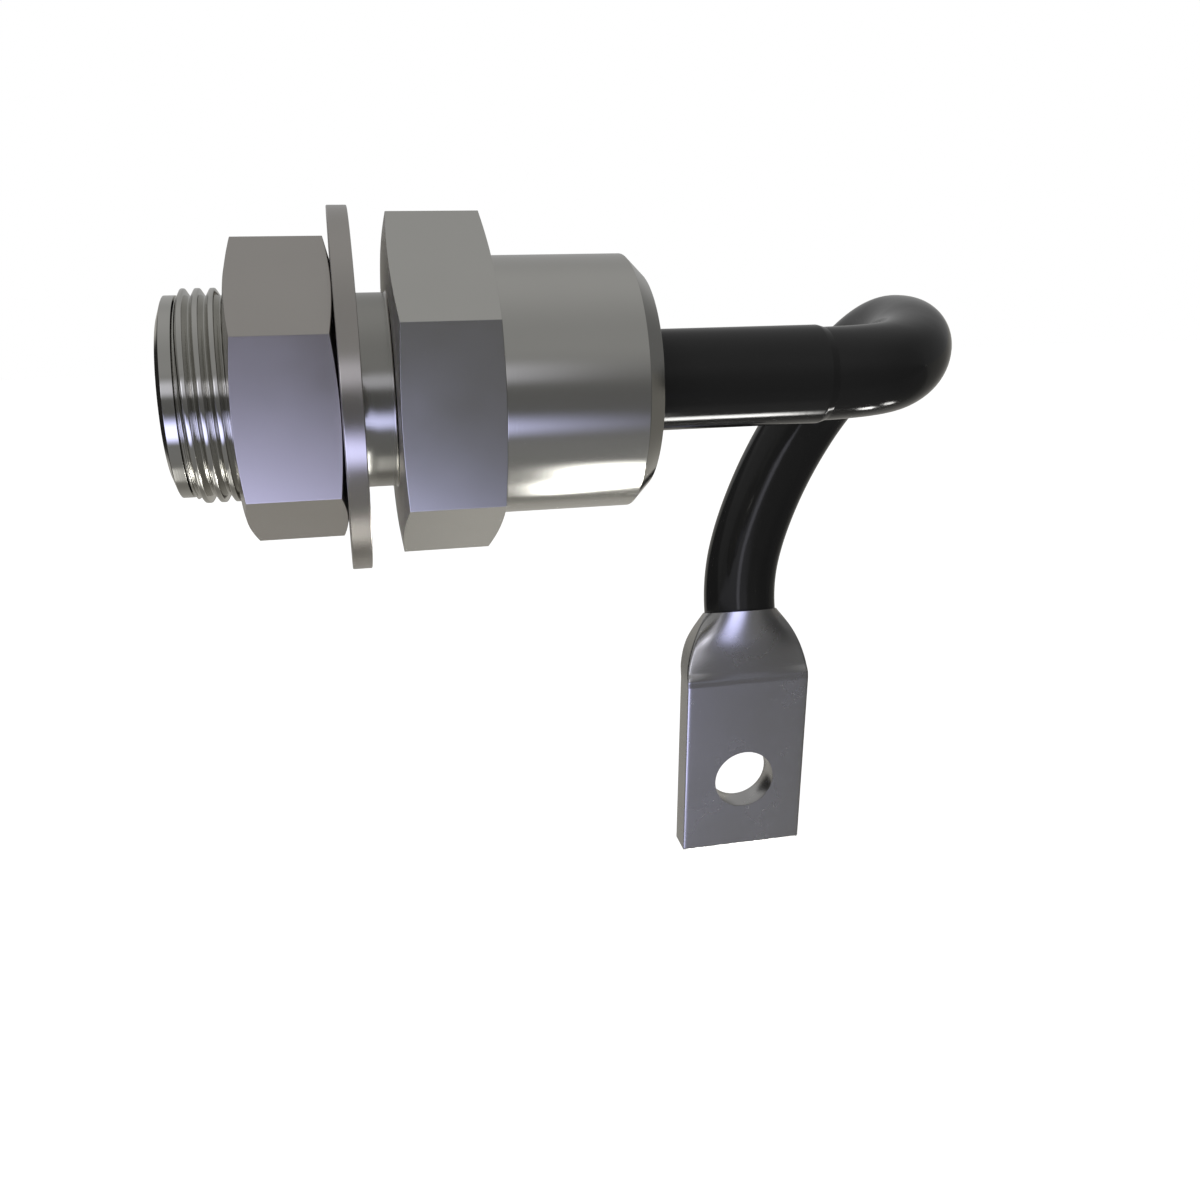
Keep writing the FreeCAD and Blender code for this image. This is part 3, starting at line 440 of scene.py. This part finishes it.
# %% Lug
LUG_X, FOLD_Z = 51.7, -50.479
FRONT_Y, BACK_Y = 24.505, 28.585
MIDDLE_Y = (FRONT_Y + BACK_Y) / 2
TONGUE_WIDTH, TONGUE_END, EDGE = 19.1, -78.479, 0.2
SIDE = 4.08 - 2 * EDGE
DOME_RISE, DOME_LEAN, NARROWING = 9.5, np.radians(20), 8.0
CREASE_SLOPE, STEP_SLOPE, SWELL_SLOPE, CURL_SLOPE = 0.18, 0.05, 0.14, 0.27
FACE_STEPS, SIDE_STEPS, TIGHTNESS = 56, 8, 60


def soft_step(value, low, high):
    """0 below low, 1 above high and a smooth S between, either way round."""
    t = np.clip((value - low) / (high - low), 0, 1)
    return t * t * (3 - 2 * t)


def lug_section(width, front, back, side, z, lean=0.0, corner=EDGE, roundness=0.0):
    """With u across the width from -1 to 1, the bulge over the straight side is a corner round,
    the square root of 1 less u to a high power, plus a flat arc, (1 - u squared). Roundness mixes
    it with half a circle, the square root of (1 - u squared). The line runs round front, right,
    back and left, and leans about x."""
    u = np.sin(np.linspace(-np.pi / 2, np.pi / 2, FACE_STEPS + 1))
    middle, half = (front + back) / 2, (back - front) / 2 / np.cos(lean)
    rise = half - side / 2
    corner = min(corner, rise)
    arc = corner * np.sqrt(np.maximum(1 - np.abs(u) ** TIGHTNESS, 0))
    arc = arc + (rise - corner) * (1 - u ** 2)
    circle = rise * np.sqrt(np.maximum(1 - u ** 2, 0))
    bulge = side / 2 + (1 - roundness) * arc + roundness * circle
    straight = np.linspace(-side / 2, side / 2, SIDE_STEPS + 1)[1:-1]
    across = np.concatenate([u, np.ones(len(straight)), -u, -np.ones(len(straight))]) * width / 2
    deep = np.concatenate([-bulge, straight, bulge, -straight])
    return np.c_[LUG_X + across, middle + deep * np.cos(lean), z - deep * np.sin(lean)] * MM


sections = []
for turn in np.linspace(0, np.pi / 2, 6):
    inset = EDGE * (1 - np.sin(turn))
    sections.append(lug_section(TONGUE_WIDTH - 2 * inset, FRONT_Y + inset, BACK_Y - inset,
                                SIDE, TONGUE_END + EDGE * (1 - np.cos(turn))))
for height in (TONGUE_END + 0.4, TONGUE_END + 2, -62, -56, -52.5, FOLD_Z - 1.2):
    sections.append(lug_section(TONGUE_WIDTH, FRONT_Y, BACK_Y, SIDE, height))
above_fold = np.concatenate([np.linspace(-0.9, 2, 59), np.linspace(2.2, DOME_RISE, 36)])
up_share = np.clip(above_fold / DOME_RISE, 0, 1)
slope = CREASE_SLOPE * soft_step(np.abs(above_fold - 0.2), 0.55, 0.15)
slope = slope + STEP_SLOPE * soft_step(above_fold, 0.4, 0.8)
slope = slope + SWELL_SLOPE * soft_step(above_fold, 1.0, 1.8)
slope = slope - CURL_SLOPE * soft_step(up_share, 0.4, 0.7)
steps_up = np.diff(above_fold) * (slope[1:] + slope[:-1]) / 2
fronts = FRONT_Y + np.concatenate([[0], np.cumsum(steps_up)])
for height, k, front in zip(above_fold, up_share, fronts):
    lean = DOME_LEAN * k
    round_back = MIDDLE_Y + 3.666 * k ** 1.3 + (2.39 + 3.16 * k) * np.cos(lean)
    start = soft_step(k, 0, 0.2)
    back = BACK_Y + (round_back - BACK_Y) * start
    thick = (back - front) / np.cos(lean)
    roundness = max(2 * k - 1, 0) ** 2
    side = SIDE * (1 - roundness) + 0.06
    side = min(side, thick - 2 * EDGE)
    sections.append(lug_section(TONGUE_WIDTH - NARROWING * k ** 2, front, back, side,
                                FOLD_Z + height, lean, EDGE + 0.35 * k, roundness))
print("lug front at the top: %.3f mm" % fronts[-1])
lug = closed_mesh("lug", np.array(sections), ring=False)

# %% [markdown]
# The bolt hole is punched through the tongue, and its rim is a little rounded. A hole could be
# left in the grid of sections, but their rows would have to bend round it. A punch with a wider
# head and foot, taken away once from the closed lug, is nearer to how it is made.

# %% The hole in the lug
HOLE_RADIUS, HOLE_Z, HOLE_STEPS, RIM = 4.65, -66.979, 96, 0.1
hole_turn = np.linspace(0, 2 * np.pi, HOLE_STEPS, endpoint=False)
hole_y = np.array([-4.0, -2.14, -1.94, 1.94, 2.14, 4.0]) + MIDDLE_Y
hole_r = HOLE_RADIUS + RIM * np.array([1, 1, 0, 0, 1, 1])
cutter_shape = (len(hole_y), HOLE_STEPS)
cutter_rows = np.stack([
    np.broadcast_to(LUG_X + hole_r[:, None] * np.cos(hole_turn), cutter_shape),
    np.broadcast_to(hole_y[:, None], cutter_shape),
    np.broadcast_to(HOLE_Z + hole_r[:, None] * np.sin(hole_turn), cutter_shape)], -1) * MM
cutter = closed_mesh("lug_hole_punch", cutter_rows, ring=False)
punch = lug.modifiers.new("punch", "BOOLEAN")
punch.operation, punch.solver, punch.object = "DIFFERENCE", "EXACT", cutter
graph = bpy.context.evaluated_depsgraph_get()
punched = bpy.data.meshes.new_from_object(lug.evaluated_get(graph))
lug.modifiers.clear()
lug.data = punched
bpy.data.objects.remove(cutter)
punched.set_sharp_from_angle(angle=np.radians(38))
place(lug, "tinned_copper", "cable_lug")
print("lug after the punch:", len(punched.polygons), "faces")

# %% [markdown]
# On the real part the lead is flexible, and the lug and the conductor go where it goes. It is thick
# and short, so it is a stiff cord that hangs, with a connector on its far end. Here it keeps the
# one shape of its line, and its length is that of its line.

# %% The lug on the lead's end
print("the lug hangs on the lead's end")

# %% [markdown]
# Materials come next. Each is named for the real stuff and how its surface was made. One function
# turns a written colour into the linear one that the shader needs, and one adds a node with its
# settings and links.

# %% Colour and node helpers
def linear(written):
    """An sRGB colour such as "9a9994" as linear red, green, blue and alpha."""
    parts = np.array([int(written[k:k + 2], 16) / 255 for k in (0, 2, 4)])
    low, high = parts / 12.92, ((parts + 0.055) / 1.055) ** 2.4
    return (*np.where(parts <= 0.04045, low, high).tolist(), 1.0)


def add(tree, kind, links=(), values=(), **settings):
    """A node of this kind, with its settings, its socket values and its links: each link is
    (input, node, output)."""
    made = tree.nodes.new(kind)
    for name, value in settings.items():
        setattr(made, name, value)
    for name, value in dict(values).items():
        made.inputs[name].default_value = value
    for target, node, source in links:
        tree.links.new(node.outputs[source], made.inputs[target])
    return made


def finish_start(name):
    """A new material with a Principled surface, its tree and its object coordinates in mm."""
    material = bpy.data.materials.new(name)
    material.use_nodes = True
    tree = material.node_tree
    shader = tree.nodes["Principled BSDF"]
    place_node = add(tree, "ShaderNodeTexCoord")
    scaled = add(tree, "ShaderNodeVectorMath", [(0, place_node, "Object")], operation="SCALE",
                 values={"Scale": 1000.0})
    return material, tree, shader, scaled


# %% [markdown]
# Turned and plated metal keeps the fine rings of the lathe tool. Their pattern depends only on
# the place along the axis and the distance from it, so a noise over just those two numbers gives
# rings on the faces and lines round the sides. Real tool marks are 0.02 to 0.05 mm apart, too
# fine for the picture, so they are drawn at about 0.25 mm. A second, slow noise changes the
# gloss a little where the plating was handled.

# %% Turned metal
def turned_metal(name, colour, shade, gloss, marks, ring_gap=0.25):
    """Metal with lathe rings: colour and shade are mixed by a slow noise, gloss is the roughness
    and marks the height of the rings in mm. Where the mesh marks the neck, the colour is darkened
    as painted shade, where it says matt it is paler and rougher, and where it says rolled it is
    smoother."""
    material, tree, shader, spot = finish_start(name)
    parts = add(tree, "ShaderNodeSeparateXYZ", [(0, spot, "Vector")])
    flat = add(tree, "ShaderNodeCombineXYZ", [("X", parts, "Y"), ("Y", parts, "Z")])
    away = add(tree, "ShaderNodeVectorMath", [(0, flat, "Vector")], operation="LENGTH")
    rings = add(tree, "ShaderNodeCombineXYZ", [("X", parts, "X"), ("Y", away, "Value")])
    tool = add(tree, "ShaderNodeTexNoise", [("Vector", rings, "Vector")],
               {"Scale": 1 / ring_gap, "Detail": 3.0, "Roughness": 0.6}, noise_dimensions="2D")
    slow = add(tree, "ShaderNodeTexNoise", [("Vector", spot, "Vector")],
               {"Scale": 0.11, "Detail": 4.0, "Roughness": 0.55})
    tint = add(tree, "ShaderNodeMix", [("Factor", slow, "Fac")], data_type="RGBA")
    tint.inputs["A"].default_value, tint.inputs["B"].default_value = linear(colour), linear(shade)
    rough = add(tree, "ShaderNodeMapRange", [("Value", slow, "Fac")],
                {"From Min": 0.3, "From Max": 0.7, "To Min": gloss * 0.85, "To Max": gloss * 1.15})
    bump = add(tree, "ShaderNodeBump", [("Height", tool, "Fac")],
               {"Strength": 1.0, "Distance": marks * MM})
    # Painted shade: on the marked neck faces the colour goes to the darker a9a8a3.
    painted_neck_shade = add(tree, "ShaderNodeAttribute", attribute_name="painted_neck_shade")
    painted_shade_colour = add(tree, "ShaderNodeMix", [("Factor", painted_neck_shade, "Fac"), ("A", tint, "Result")],
                 data_type="RGBA")
    painted_shade_colour.inputs["B"].default_value = linear("a9a8a3")
    matt = add(tree, "ShaderNodeAttribute", attribute_name="matt")
    paler = add(tree, "ShaderNodeMix", [("Factor", matt, "Fac"), ("A", painted_shade_colour, "Result")],
                data_type="RGBA")
    paler.inputs["B"].default_value = linear("dddbd6")
    rougher = add(tree, "ShaderNodeMix", [("Factor", matt, "Fac"), ("A", rough, "Result")],
                  {"B": 0.5})
    rolled = add(tree, "ShaderNodeAttribute", attribute_name="rolled")
    burnished = add(tree, "ShaderNodeMix", [("Factor", rolled, "Fac"), ("A", rougher, "Result")],
                    {"B": 0.07})
    tree.links.new(paler.outputs["Result"], shader.inputs["Base Color"])
    tree.links.new(burnished.outputs["Result"], shader.inputs["Roughness"])
    tree.links.new(bump.outputs["Normal"], shader.inputs["Normal"])
    shader.inputs["Metallic"].default_value = 1.0
    return material


plated_base = turned_metal("satin_nickel_plate_on_copper", "c9c8c3", "c5c4bf", 0.17, 0.0006)
plated_can = turned_metal("nickel_plate_on_drawn_steel", "c9c8c3", "c5c4bf", 0.13, 0.0006)
zinc_plate = turned_metal("clear_zinc_plate_on_steel", "bcb8b3", "b8b4af", 0.2, 0.0006)

# %% [markdown]
# The lug is matt tin over pressed copper. Pressing leaves no rings, only the faint grain of the
# plating, a few hundredths of a millimetre across on the real one and drawn here at 0.3 mm.

# %% Pressed and tinned metal
def pressed_metal(name, colour, shade, gloss, grain_size, grain_height):
    """Metal with an even fine grain: grain_size and grain_height are in mm."""
    material, tree, shader, spot = finish_start(name)
    grain = add(tree, "ShaderNodeTexNoise", [("Vector", spot, "Vector")],
                {"Scale": 1 / grain_size, "Detail": 2.0})
    slow = add(tree, "ShaderNodeTexNoise", [("Vector", spot, "Vector")],
               {"Scale": 0.15, "Detail": 4.0})
    tint = add(tree, "ShaderNodeMix", [("Factor", slow, "Fac")], data_type="RGBA")
    tint.inputs["A"].default_value, tint.inputs["B"].default_value = linear(colour), linear(shade)
    rough = add(tree, "ShaderNodeMapRange", [("Value", slow, "Fac")],
                {"From Min": 0.3, "From Max": 0.7, "To Min": gloss * 0.9, "To Max": gloss * 1.1})
    bump = add(tree, "ShaderNodeBump", [("Height", grain, "Fac")],
               {"Strength": 1.0, "Distance": grain_height * MM})
    tree.links.new(tint.outputs["Result"], shader.inputs["Base Color"])
    tree.links.new(rough.outputs["Result"], shader.inputs["Roughness"])
    tree.links.new(bump.outputs["Normal"], shader.inputs["Normal"])
    shader.inputs["Metallic"].default_value = 1.0
    return material


tinned = pressed_metal("matt_tin_on_pressed_copper", "c4c3c2", "c0bfbe", 0.26, 0.3, 0.0002)

# %% [markdown]
# The sleeve is shrunk polyolefin, a little smoother than the lead's extruded rubber. Both are
# black with a low reflection, and both have a faint unevenness that breaks up the highlights.

# %% Rubber and sleeve
def black_polymer(name, colour, gloss, lumps, reflect):
    """A black moulded or extruded polymer: gloss is its roughness, lumps the height of its
    unevenness in mm and reflect the strength of its mirror."""
    material, tree, shader, spot = finish_start(name)
    grain = add(tree, "ShaderNodeTexNoise", [("Vector", spot, "Vector")],
                {"Scale": 0.35, "Detail": 5.0, "Roughness": 0.6})
    tint = add(tree, "ShaderNodeMix", [("Factor", grain, "Fac")], data_type="RGBA")
    tint.inputs["A"].default_value = linear(colour)
    tint.inputs["B"].default_value = linear("222222")
    bump = add(tree, "ShaderNodeBump", [("Height", grain, "Fac")],
               {"Strength": 1.0, "Distance": lumps * MM})
    tree.links.new(tint.outputs["Result"], shader.inputs["Base Color"])
    tree.links.new(bump.outputs["Normal"], shader.inputs["Normal"])
    shader.inputs["Roughness"].default_value = gloss
    shader.inputs["Specular IOR Level"].default_value = reflect
    return material


sleeve_finish = black_polymer("shrunk_polyolefin", "1f1f1f", 0.09, 0.01, 0.23)
rubber_finish = black_polymer("extruded_black_rubber", "1f1f1f", 0.1, 0.02, 0.23)

# %% [markdown]
# The solids that are sealed inside, and the seal at the can's end, keep their CAD shapes and get
# the finish of their stuff too.

# %% Inner pieces
def plain_stuff(name, colour, shade, metal, gloss, scale=0.6, see_through=0.0):
    """Two near shades mixed by a noise, with a little relief from the same noise."""
    material, tree, shader, spot = finish_start(name)
    grain = add(tree, "ShaderNodeTexNoise", [("Vector", spot, "Vector")],
                {"Scale": scale, "Detail": 4.0})
    tint = add(tree, "ShaderNodeMix", [("Factor", grain, "Fac")], data_type="RGBA")
    tint.inputs["A"].default_value, tint.inputs["B"].default_value = linear(colour), linear(shade)
    bump = add(tree, "ShaderNodeBump", [("Height", grain, "Fac")],
               {"Strength": 1.0, "Distance": 0.01 * MM})
    tree.links.new(tint.outputs["Result"], shader.inputs["Base Color"])
    tree.links.new(bump.outputs["Normal"], shader.inputs["Normal"])
    shader.inputs["Metallic"].default_value = metal
    shader.inputs["Roughness"].default_value = gloss
    shader.inputs["Transmission Weight"].default_value = see_through
    return material


slot_finish = {
    "nickel_plated_copper": plated_base,
    "zinc_plated_steel": zinc_plate,
    "nickel_plated_steel": plated_can,
    "tinned_copper": tinned,
    "black_sleeve": sleeve_finish,
    "black_rubber": rubber_finish,
    "bare_steel": plain_stuff("ground_steel", "8a8a8a", "7d7d7d", 1.0, 0.3),
    "spring_steel": plain_stuff("blued_spring_steel", "55565c", "48494f", 1.0, 0.32),
    "molybdenum": plain_stuff("lapped_molybdenum", "8d8c8a", "858482", 1.0, 0.35),
    "silicon": plain_stuff("polished_silicon", "5f6068", "55565e", 0.8, 0.12),
    "silicone_rubber": plain_stuff("cast_silicone_rubber", "c46f61", "b86458", 0.0, 0.45),
    "white_plastic": plain_stuff("turned_white_ptfe", "e6e4de", "dddbd4", 0.0, 0.4),
    "copper": plain_stuff("drawn_copper", "b8755a", "a9674d", 1.0, 0.28),
    "sealing_glass": plain_stuff("fired_sealing_glass", "46604f", "3b5344", 0.0, 0.08),
}
cad_slot = {
    "weld_ring": "bare_steel", "thrust_washer": "bare_steel", "pressure_ring": "bare_steel",
    "disc_spring_1": "spring_steel", "disc_spring_2": "spring_steel",
    "disc_spring_3": "spring_steel", "lower_molybdenum_disc": "molybdenum",
    "upper_molybdenum_disc": "molybdenum", "silicon_wafer": "silicon",
    "passivation_ring": "silicone_rubber", "centring_ring": "white_plastic",
    "insulating_bush": "white_plastic", "contact_electrode": "copper",
    "terminal_tube": "copper", "lead_conductor": "copper", "seal_eyelet": "nickel_plated_steel",
    "glass_seal": "sealing_glass"}
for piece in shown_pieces():
    slot = piece.get("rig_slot") or cad_slot[piece.name]
    piece.data.materials.clear()
    piece.data.materials.append(slot_finish[slot])
print("finishes:", len(slot_finish))

# %% [markdown]
# The stage: a plain white floor well below the part, a white surround, and a tent of soft panels
# all round that only the glossy surfaces see. Metal shows little but what stands about it, so the
# tent gives it the grey cloth, the window overhead, the bluish softbox in front and the bright
# strips below that a studio has. Single lamps would each be another light to sample. The tent is
# one sphere, and the glow of each point of it is a sum of soft-edged panels.

# %% The tent's glow
TENT_CENTRE = np.array([0.02, 0.0, 0.0])
TENT_RADIUS = 1.2


def band(value, low, high, soft):
    """1 between low and high, falling to 0 over soft on both sides."""
    return soft_step(value, low - soft, low) * soft_step(value, high + soft, high)


DAYLIGHT, WARM, BLUISH = (1.0, 1.0, 1.15), (1.0, 0.99, 0.96), (0.85, 0.88, 1.4)
# Each plain panel has its glow, the heights that it spans and how soft their ends are, the shares
# along x that it spans and how soft theirs are, and its tint.
PANELS = [
    (2.2, 14, 24, 6, -0.4, -0.33, 0.08, DAYLIGHT),      # upper left, shown by the thread
    (1.1, -19, -10, 5, -0.42, -0.27, 0.13, BLUISH),     # left end of the softbox
    (2.2, -95, -80, 6, -0.24, -0.19, 0.04, WARM),       # lower left, shown by the stud's tip
    (0.25, -84, -62, 15, 0.29, 0.42, 0.05, WARM),       # faint, shown by the sleeve
    (0.5, -90, -83, 16, -0.1, 0.02, 0.11, WARM),        # below, shown by neck and washer
    (0.55, -90, -83, 16, -0.1, -0.01, 0.03, WARM),      # its brighter left half
    (30, -104, -99, 3, 0.545, 0.575, 0.02, WARM),       # two small ones far to the right,
    (18, -104, -98, 3, 0.65, 0.68, 0.015, WARM)]        # shown by the lead's bend


def cloth_glow(height, aside):
    """The grey cloth: brighter overhead and below than in front, darker towards both ends of x
    and nearly black behind on the left, and warmer below."""
    level = 0.185 + 0.26 * soft_step(height, 0, 42) + 0.125 * soft_step(height, 55, 105)
    level = level - 0.06 * soft_step(height, 112, 140)
    level = level + 0.12 * soft_step(height, -18, -48) + 0.13 * soft_step(height, -108, -130)
    level = level + 0.14 * soft_step(height, -108, -130) * soft_step(aside, -0.05, 0.12)
    behind = soft_step(np.abs(height), 125, 150)
    level = level + 0.07 * behind * soft_step(aside, 0, -0.15)
    far_behind = soft_step(np.abs(height), 146, 160)
    level = level * (1 - 0.95 * far_behind * soft_step(aside, -0.36, -0.46))
    level = level * (1 - 0.6 * soft_step(aside, 0.5, 0.9))
    level = level * (1 - 0.3 * soft_step(aside, -0.6, -0.9))
    warm = soft_step(height, -50, -110)[..., None]
    return level[..., None] * (1 - warm * np.array([0.0, 0.03, 0.1]))


def softbox_glow(height, aside):
    """The bluish softbox in front: its upper and lower edges bend along x, and it fades out to
    the right."""
    top = np.interp(aside, [-0.2, -0.1, 0.05, 0.18, 0.25], [-17, -14.2, -19.1, -19.3, -21])
    foot = np.interp(aside, [-0.16, 0.09], [-38, -32])
    inside = soft_step(height, top + 8, top - 8) * soft_step(height, foot - 6.5, foot + 6.5)
    along = 2.55 * soft_step(aside, 0.33, -0.2) + 0.5 * band(aside, 0.0, 0.08, 0.06)
    return inside * along * (0.2 + 0.8 * soft_step(aside, -0.85, -0.45))


def strip_glow(height, aside):
    """The bright strip below the can: wide and soft to the left, and four times as strong but
    narrow to the right, where only the black sleeve shows it."""
    narrow = soft_step(aside, 0.25, 0.275)
    foot = -107 + 100 * np.clip(aside - 0.18, 0, 0.07) + 4 * narrow
    top = -71 - 15 * narrow
    inside = soft_step(height, foot - 3, foot + 3)
    inside = inside * soft_step(height, top + 8 - 4 * narrow, top - 4)
    near_edge = aside - 0.025 * soft_step(height, -92, -80)
    inside = inside * soft_step(near_edge, 0.14, 0.185) * soft_step(aside, 0.42, 0.36)
    return inside * (9 + 29 * narrow)


def tent_glow(height, aside):
    """height runs round the x axis in degrees: 0 in front, 90 overhead, 180 behind, -90 below.
    aside is the share of the direction along x. Returns linear colours."""
    window = 0.7 * soft_step(height, 8, 18) * soft_step(height, 34, 22)
    window = window * soft_step(aside, 0.24, 0.04)
    glow = cloth_glow(height, aside) + window[..., None] * np.array(DAYLIGHT)
    glow = glow + softbox_glow(height, aside)[..., None] * np.array(BLUISH)
    glow = glow + strip_glow(height, aside)[..., None] * np.array(WARM)
    for strength, low, high, soft, left, right, side_soft, tint in PANELS:
        panel = strength * band(height, low, high, soft) * band(aside, left, right, side_soft)
        glow = glow + panel[..., None] * np.array(tint)
    return glow


LEVEL = 0.775
heights = np.linspace(-180, 180, 361)
asides = np.sin(np.linspace(-1.56, 1.56, 181))
height_grid, aside_grid = np.meshgrid(heights, asides, indexing="ij")
turn = np.radians(height_grid)
ring_radius = np.sqrt(1 - aside_grid ** 2)
tent_points = TENT_CENTRE + TENT_RADIUS * np.stack(
    [aside_grid, -np.cos(turn) * ring_radius, np.sin(turn) * ring_radius], -1)
numbers = np.arange(heights.size * asides.size).reshape(heights.size, asides.size)
tent_quads = np.stack([numbers[:-1, :-1], numbers[1:, :-1], numbers[1:, 1:], numbers[:-1, 1:]], -1)
tent_mesh = bpy.data.meshes.new("studio_tent")
tent_mesh.from_pydata(tent_points.reshape(-1, 3).tolist(), [], tent_quads.reshape(-1, 4).tolist())
glow = tent_mesh.color_attributes.new("glow", "FLOAT_COLOR", "POINT")
shades = np.concatenate([LEVEL * tent_glow(height_grid, aside_grid),
                         np.ones((*height_grid.shape, 1))], -1)
glow.data.foreach_set("color", shades.astype(np.float32).ravel())
tent = bpy.data.objects.new("studio_tent", tent_mesh)
bpy.context.scene.collection.objects.link(tent)
tent_cloth = bpy.data.materials.new("studio_tent_cloth")
tent_cloth.use_nodes = True
tent_tree = tent_cloth.node_tree
tent_tree.nodes.clear()
tent_colour = add(tent_tree, "ShaderNodeVertexColor", layer_name="glow")
tent_light = add(tent_tree, "ShaderNodeEmission", [("Color", tent_colour, "Color")])
add(tent_tree, "ShaderNodeOutputMaterial", [("Surface", tent_light, "Emission")])
tent_mesh.materials.append(tent_cloth)
tent_cloth.cycles.emission_sampling = "NONE"
tent.visible_camera = False
tent.visible_shadow = False
tent.visible_diffuse = False
print("tent:", len(tent_mesh.polygons), "faces, glow", shades[..., :3].min(), shades[..., :3].max())

# %% [markdown]
# The floor is a sheet of white paper that keeps the part's shadow, and the surround is white too.
# Paper lit by lamps alone comes out grey beside the bright parts of the metal, so both glow a
# little for what sees them straight or in a mirror. One large soft key lamp stands to the left
# above the camera, and lights the rubber and the floor without a hard shadow.

# %% Floor, surround and key lamp
FLOOR_Z = -1.3
floor_mesh = bpy.data.meshes.new("floor")
floor_mesh.from_pydata([(-8, -8, FLOOR_Z), (8, -8, FLOOR_Z), (8, 8, FLOOR_Z), (-8, 8, FLOOR_Z)],
                       [], [(0, 1, 2, 3)])
floor = bpy.data.objects.new("floor", floor_mesh)
bpy.context.scene.collection.objects.link(floor)
paper = bpy.data.materials.new("white_paper_floor")
paper.use_nodes = True
floor_mesh.materials.append(paper)
paper_tree = paper.node_tree
paper_shader = paper_tree.nodes["Principled BSDF"]
paper_shader.inputs["Base Color"].default_value = linear("f4f4f4")
paper_shader.inputs["Roughness"].default_value = 0.9
paper_shader.inputs["Specular IOR Level"].default_value = 0.0


def seen_directly(tree):
    """1 for camera, glossy and transmission rays, so that metal shows the white too."""
    ray = add(tree, "ShaderNodeLightPath")
    either = add(tree, "ShaderNodeMath", [(0, ray, "Is Camera Ray"), (1, ray, "Is Glossy Ray")],
                 operation="MAXIMUM")
    return add(tree, "ShaderNodeMath", [(0, either, "Value"), (1, ray, "Is Transmission Ray")],
               operation="MAXIMUM")


paper_seen = seen_directly(paper_tree)
paper_glow = add(paper_tree, "ShaderNodeMath", [(0, paper_seen, "Value")], {1: 0.62},
                 operation="MULTIPLY")
paper_tree.links.new(paper_glow.outputs["Value"], paper_shader.inputs["Emission Strength"])
paper_shader.inputs["Emission Color"].default_value = (1, 1, 1, 1)

world = bpy.data.worlds.new("studio")
bpy.context.scene.world = world
world.use_nodes = True
sky = world.node_tree
sky_seen = seen_directly(sky)
sky_level = add(sky, "ShaderNodeMapRange", [("Value", sky_seen, "Value")],
                {"To Min": 0.5, "To Max": 1.0})
sky_light = sky.nodes["Background"]
sky_light.inputs["Color"].default_value = (1, 1, 1, 1)
sky.links.new(sky_level.outputs["Result"], sky_light.inputs["Strength"])

key = bpy.data.lights.new("key_softbox", "AREA")
key.shape = "RECTANGLE"
key.size, key.size_y = 1.5, 1.2
key.energy = 12.0
key_lamp = bpy.data.objects.new("key_softbox", key)
key_lamp.location = (-0.5, -0.7, 1.4)
key_lamp.rotation_euler = (np.radians(27), np.radians(-18), 0)
key_lamp.visible_camera = False
key_lamp.visible_glossy = False
bpy.context.scene.collection.objects.link(key_lamp)
bpy.context.scene.view_settings.view_transform = "Standard"
print("stage: floor at %.1f m, key lamp of %.0f W" % (FLOOR_Z, key.energy))
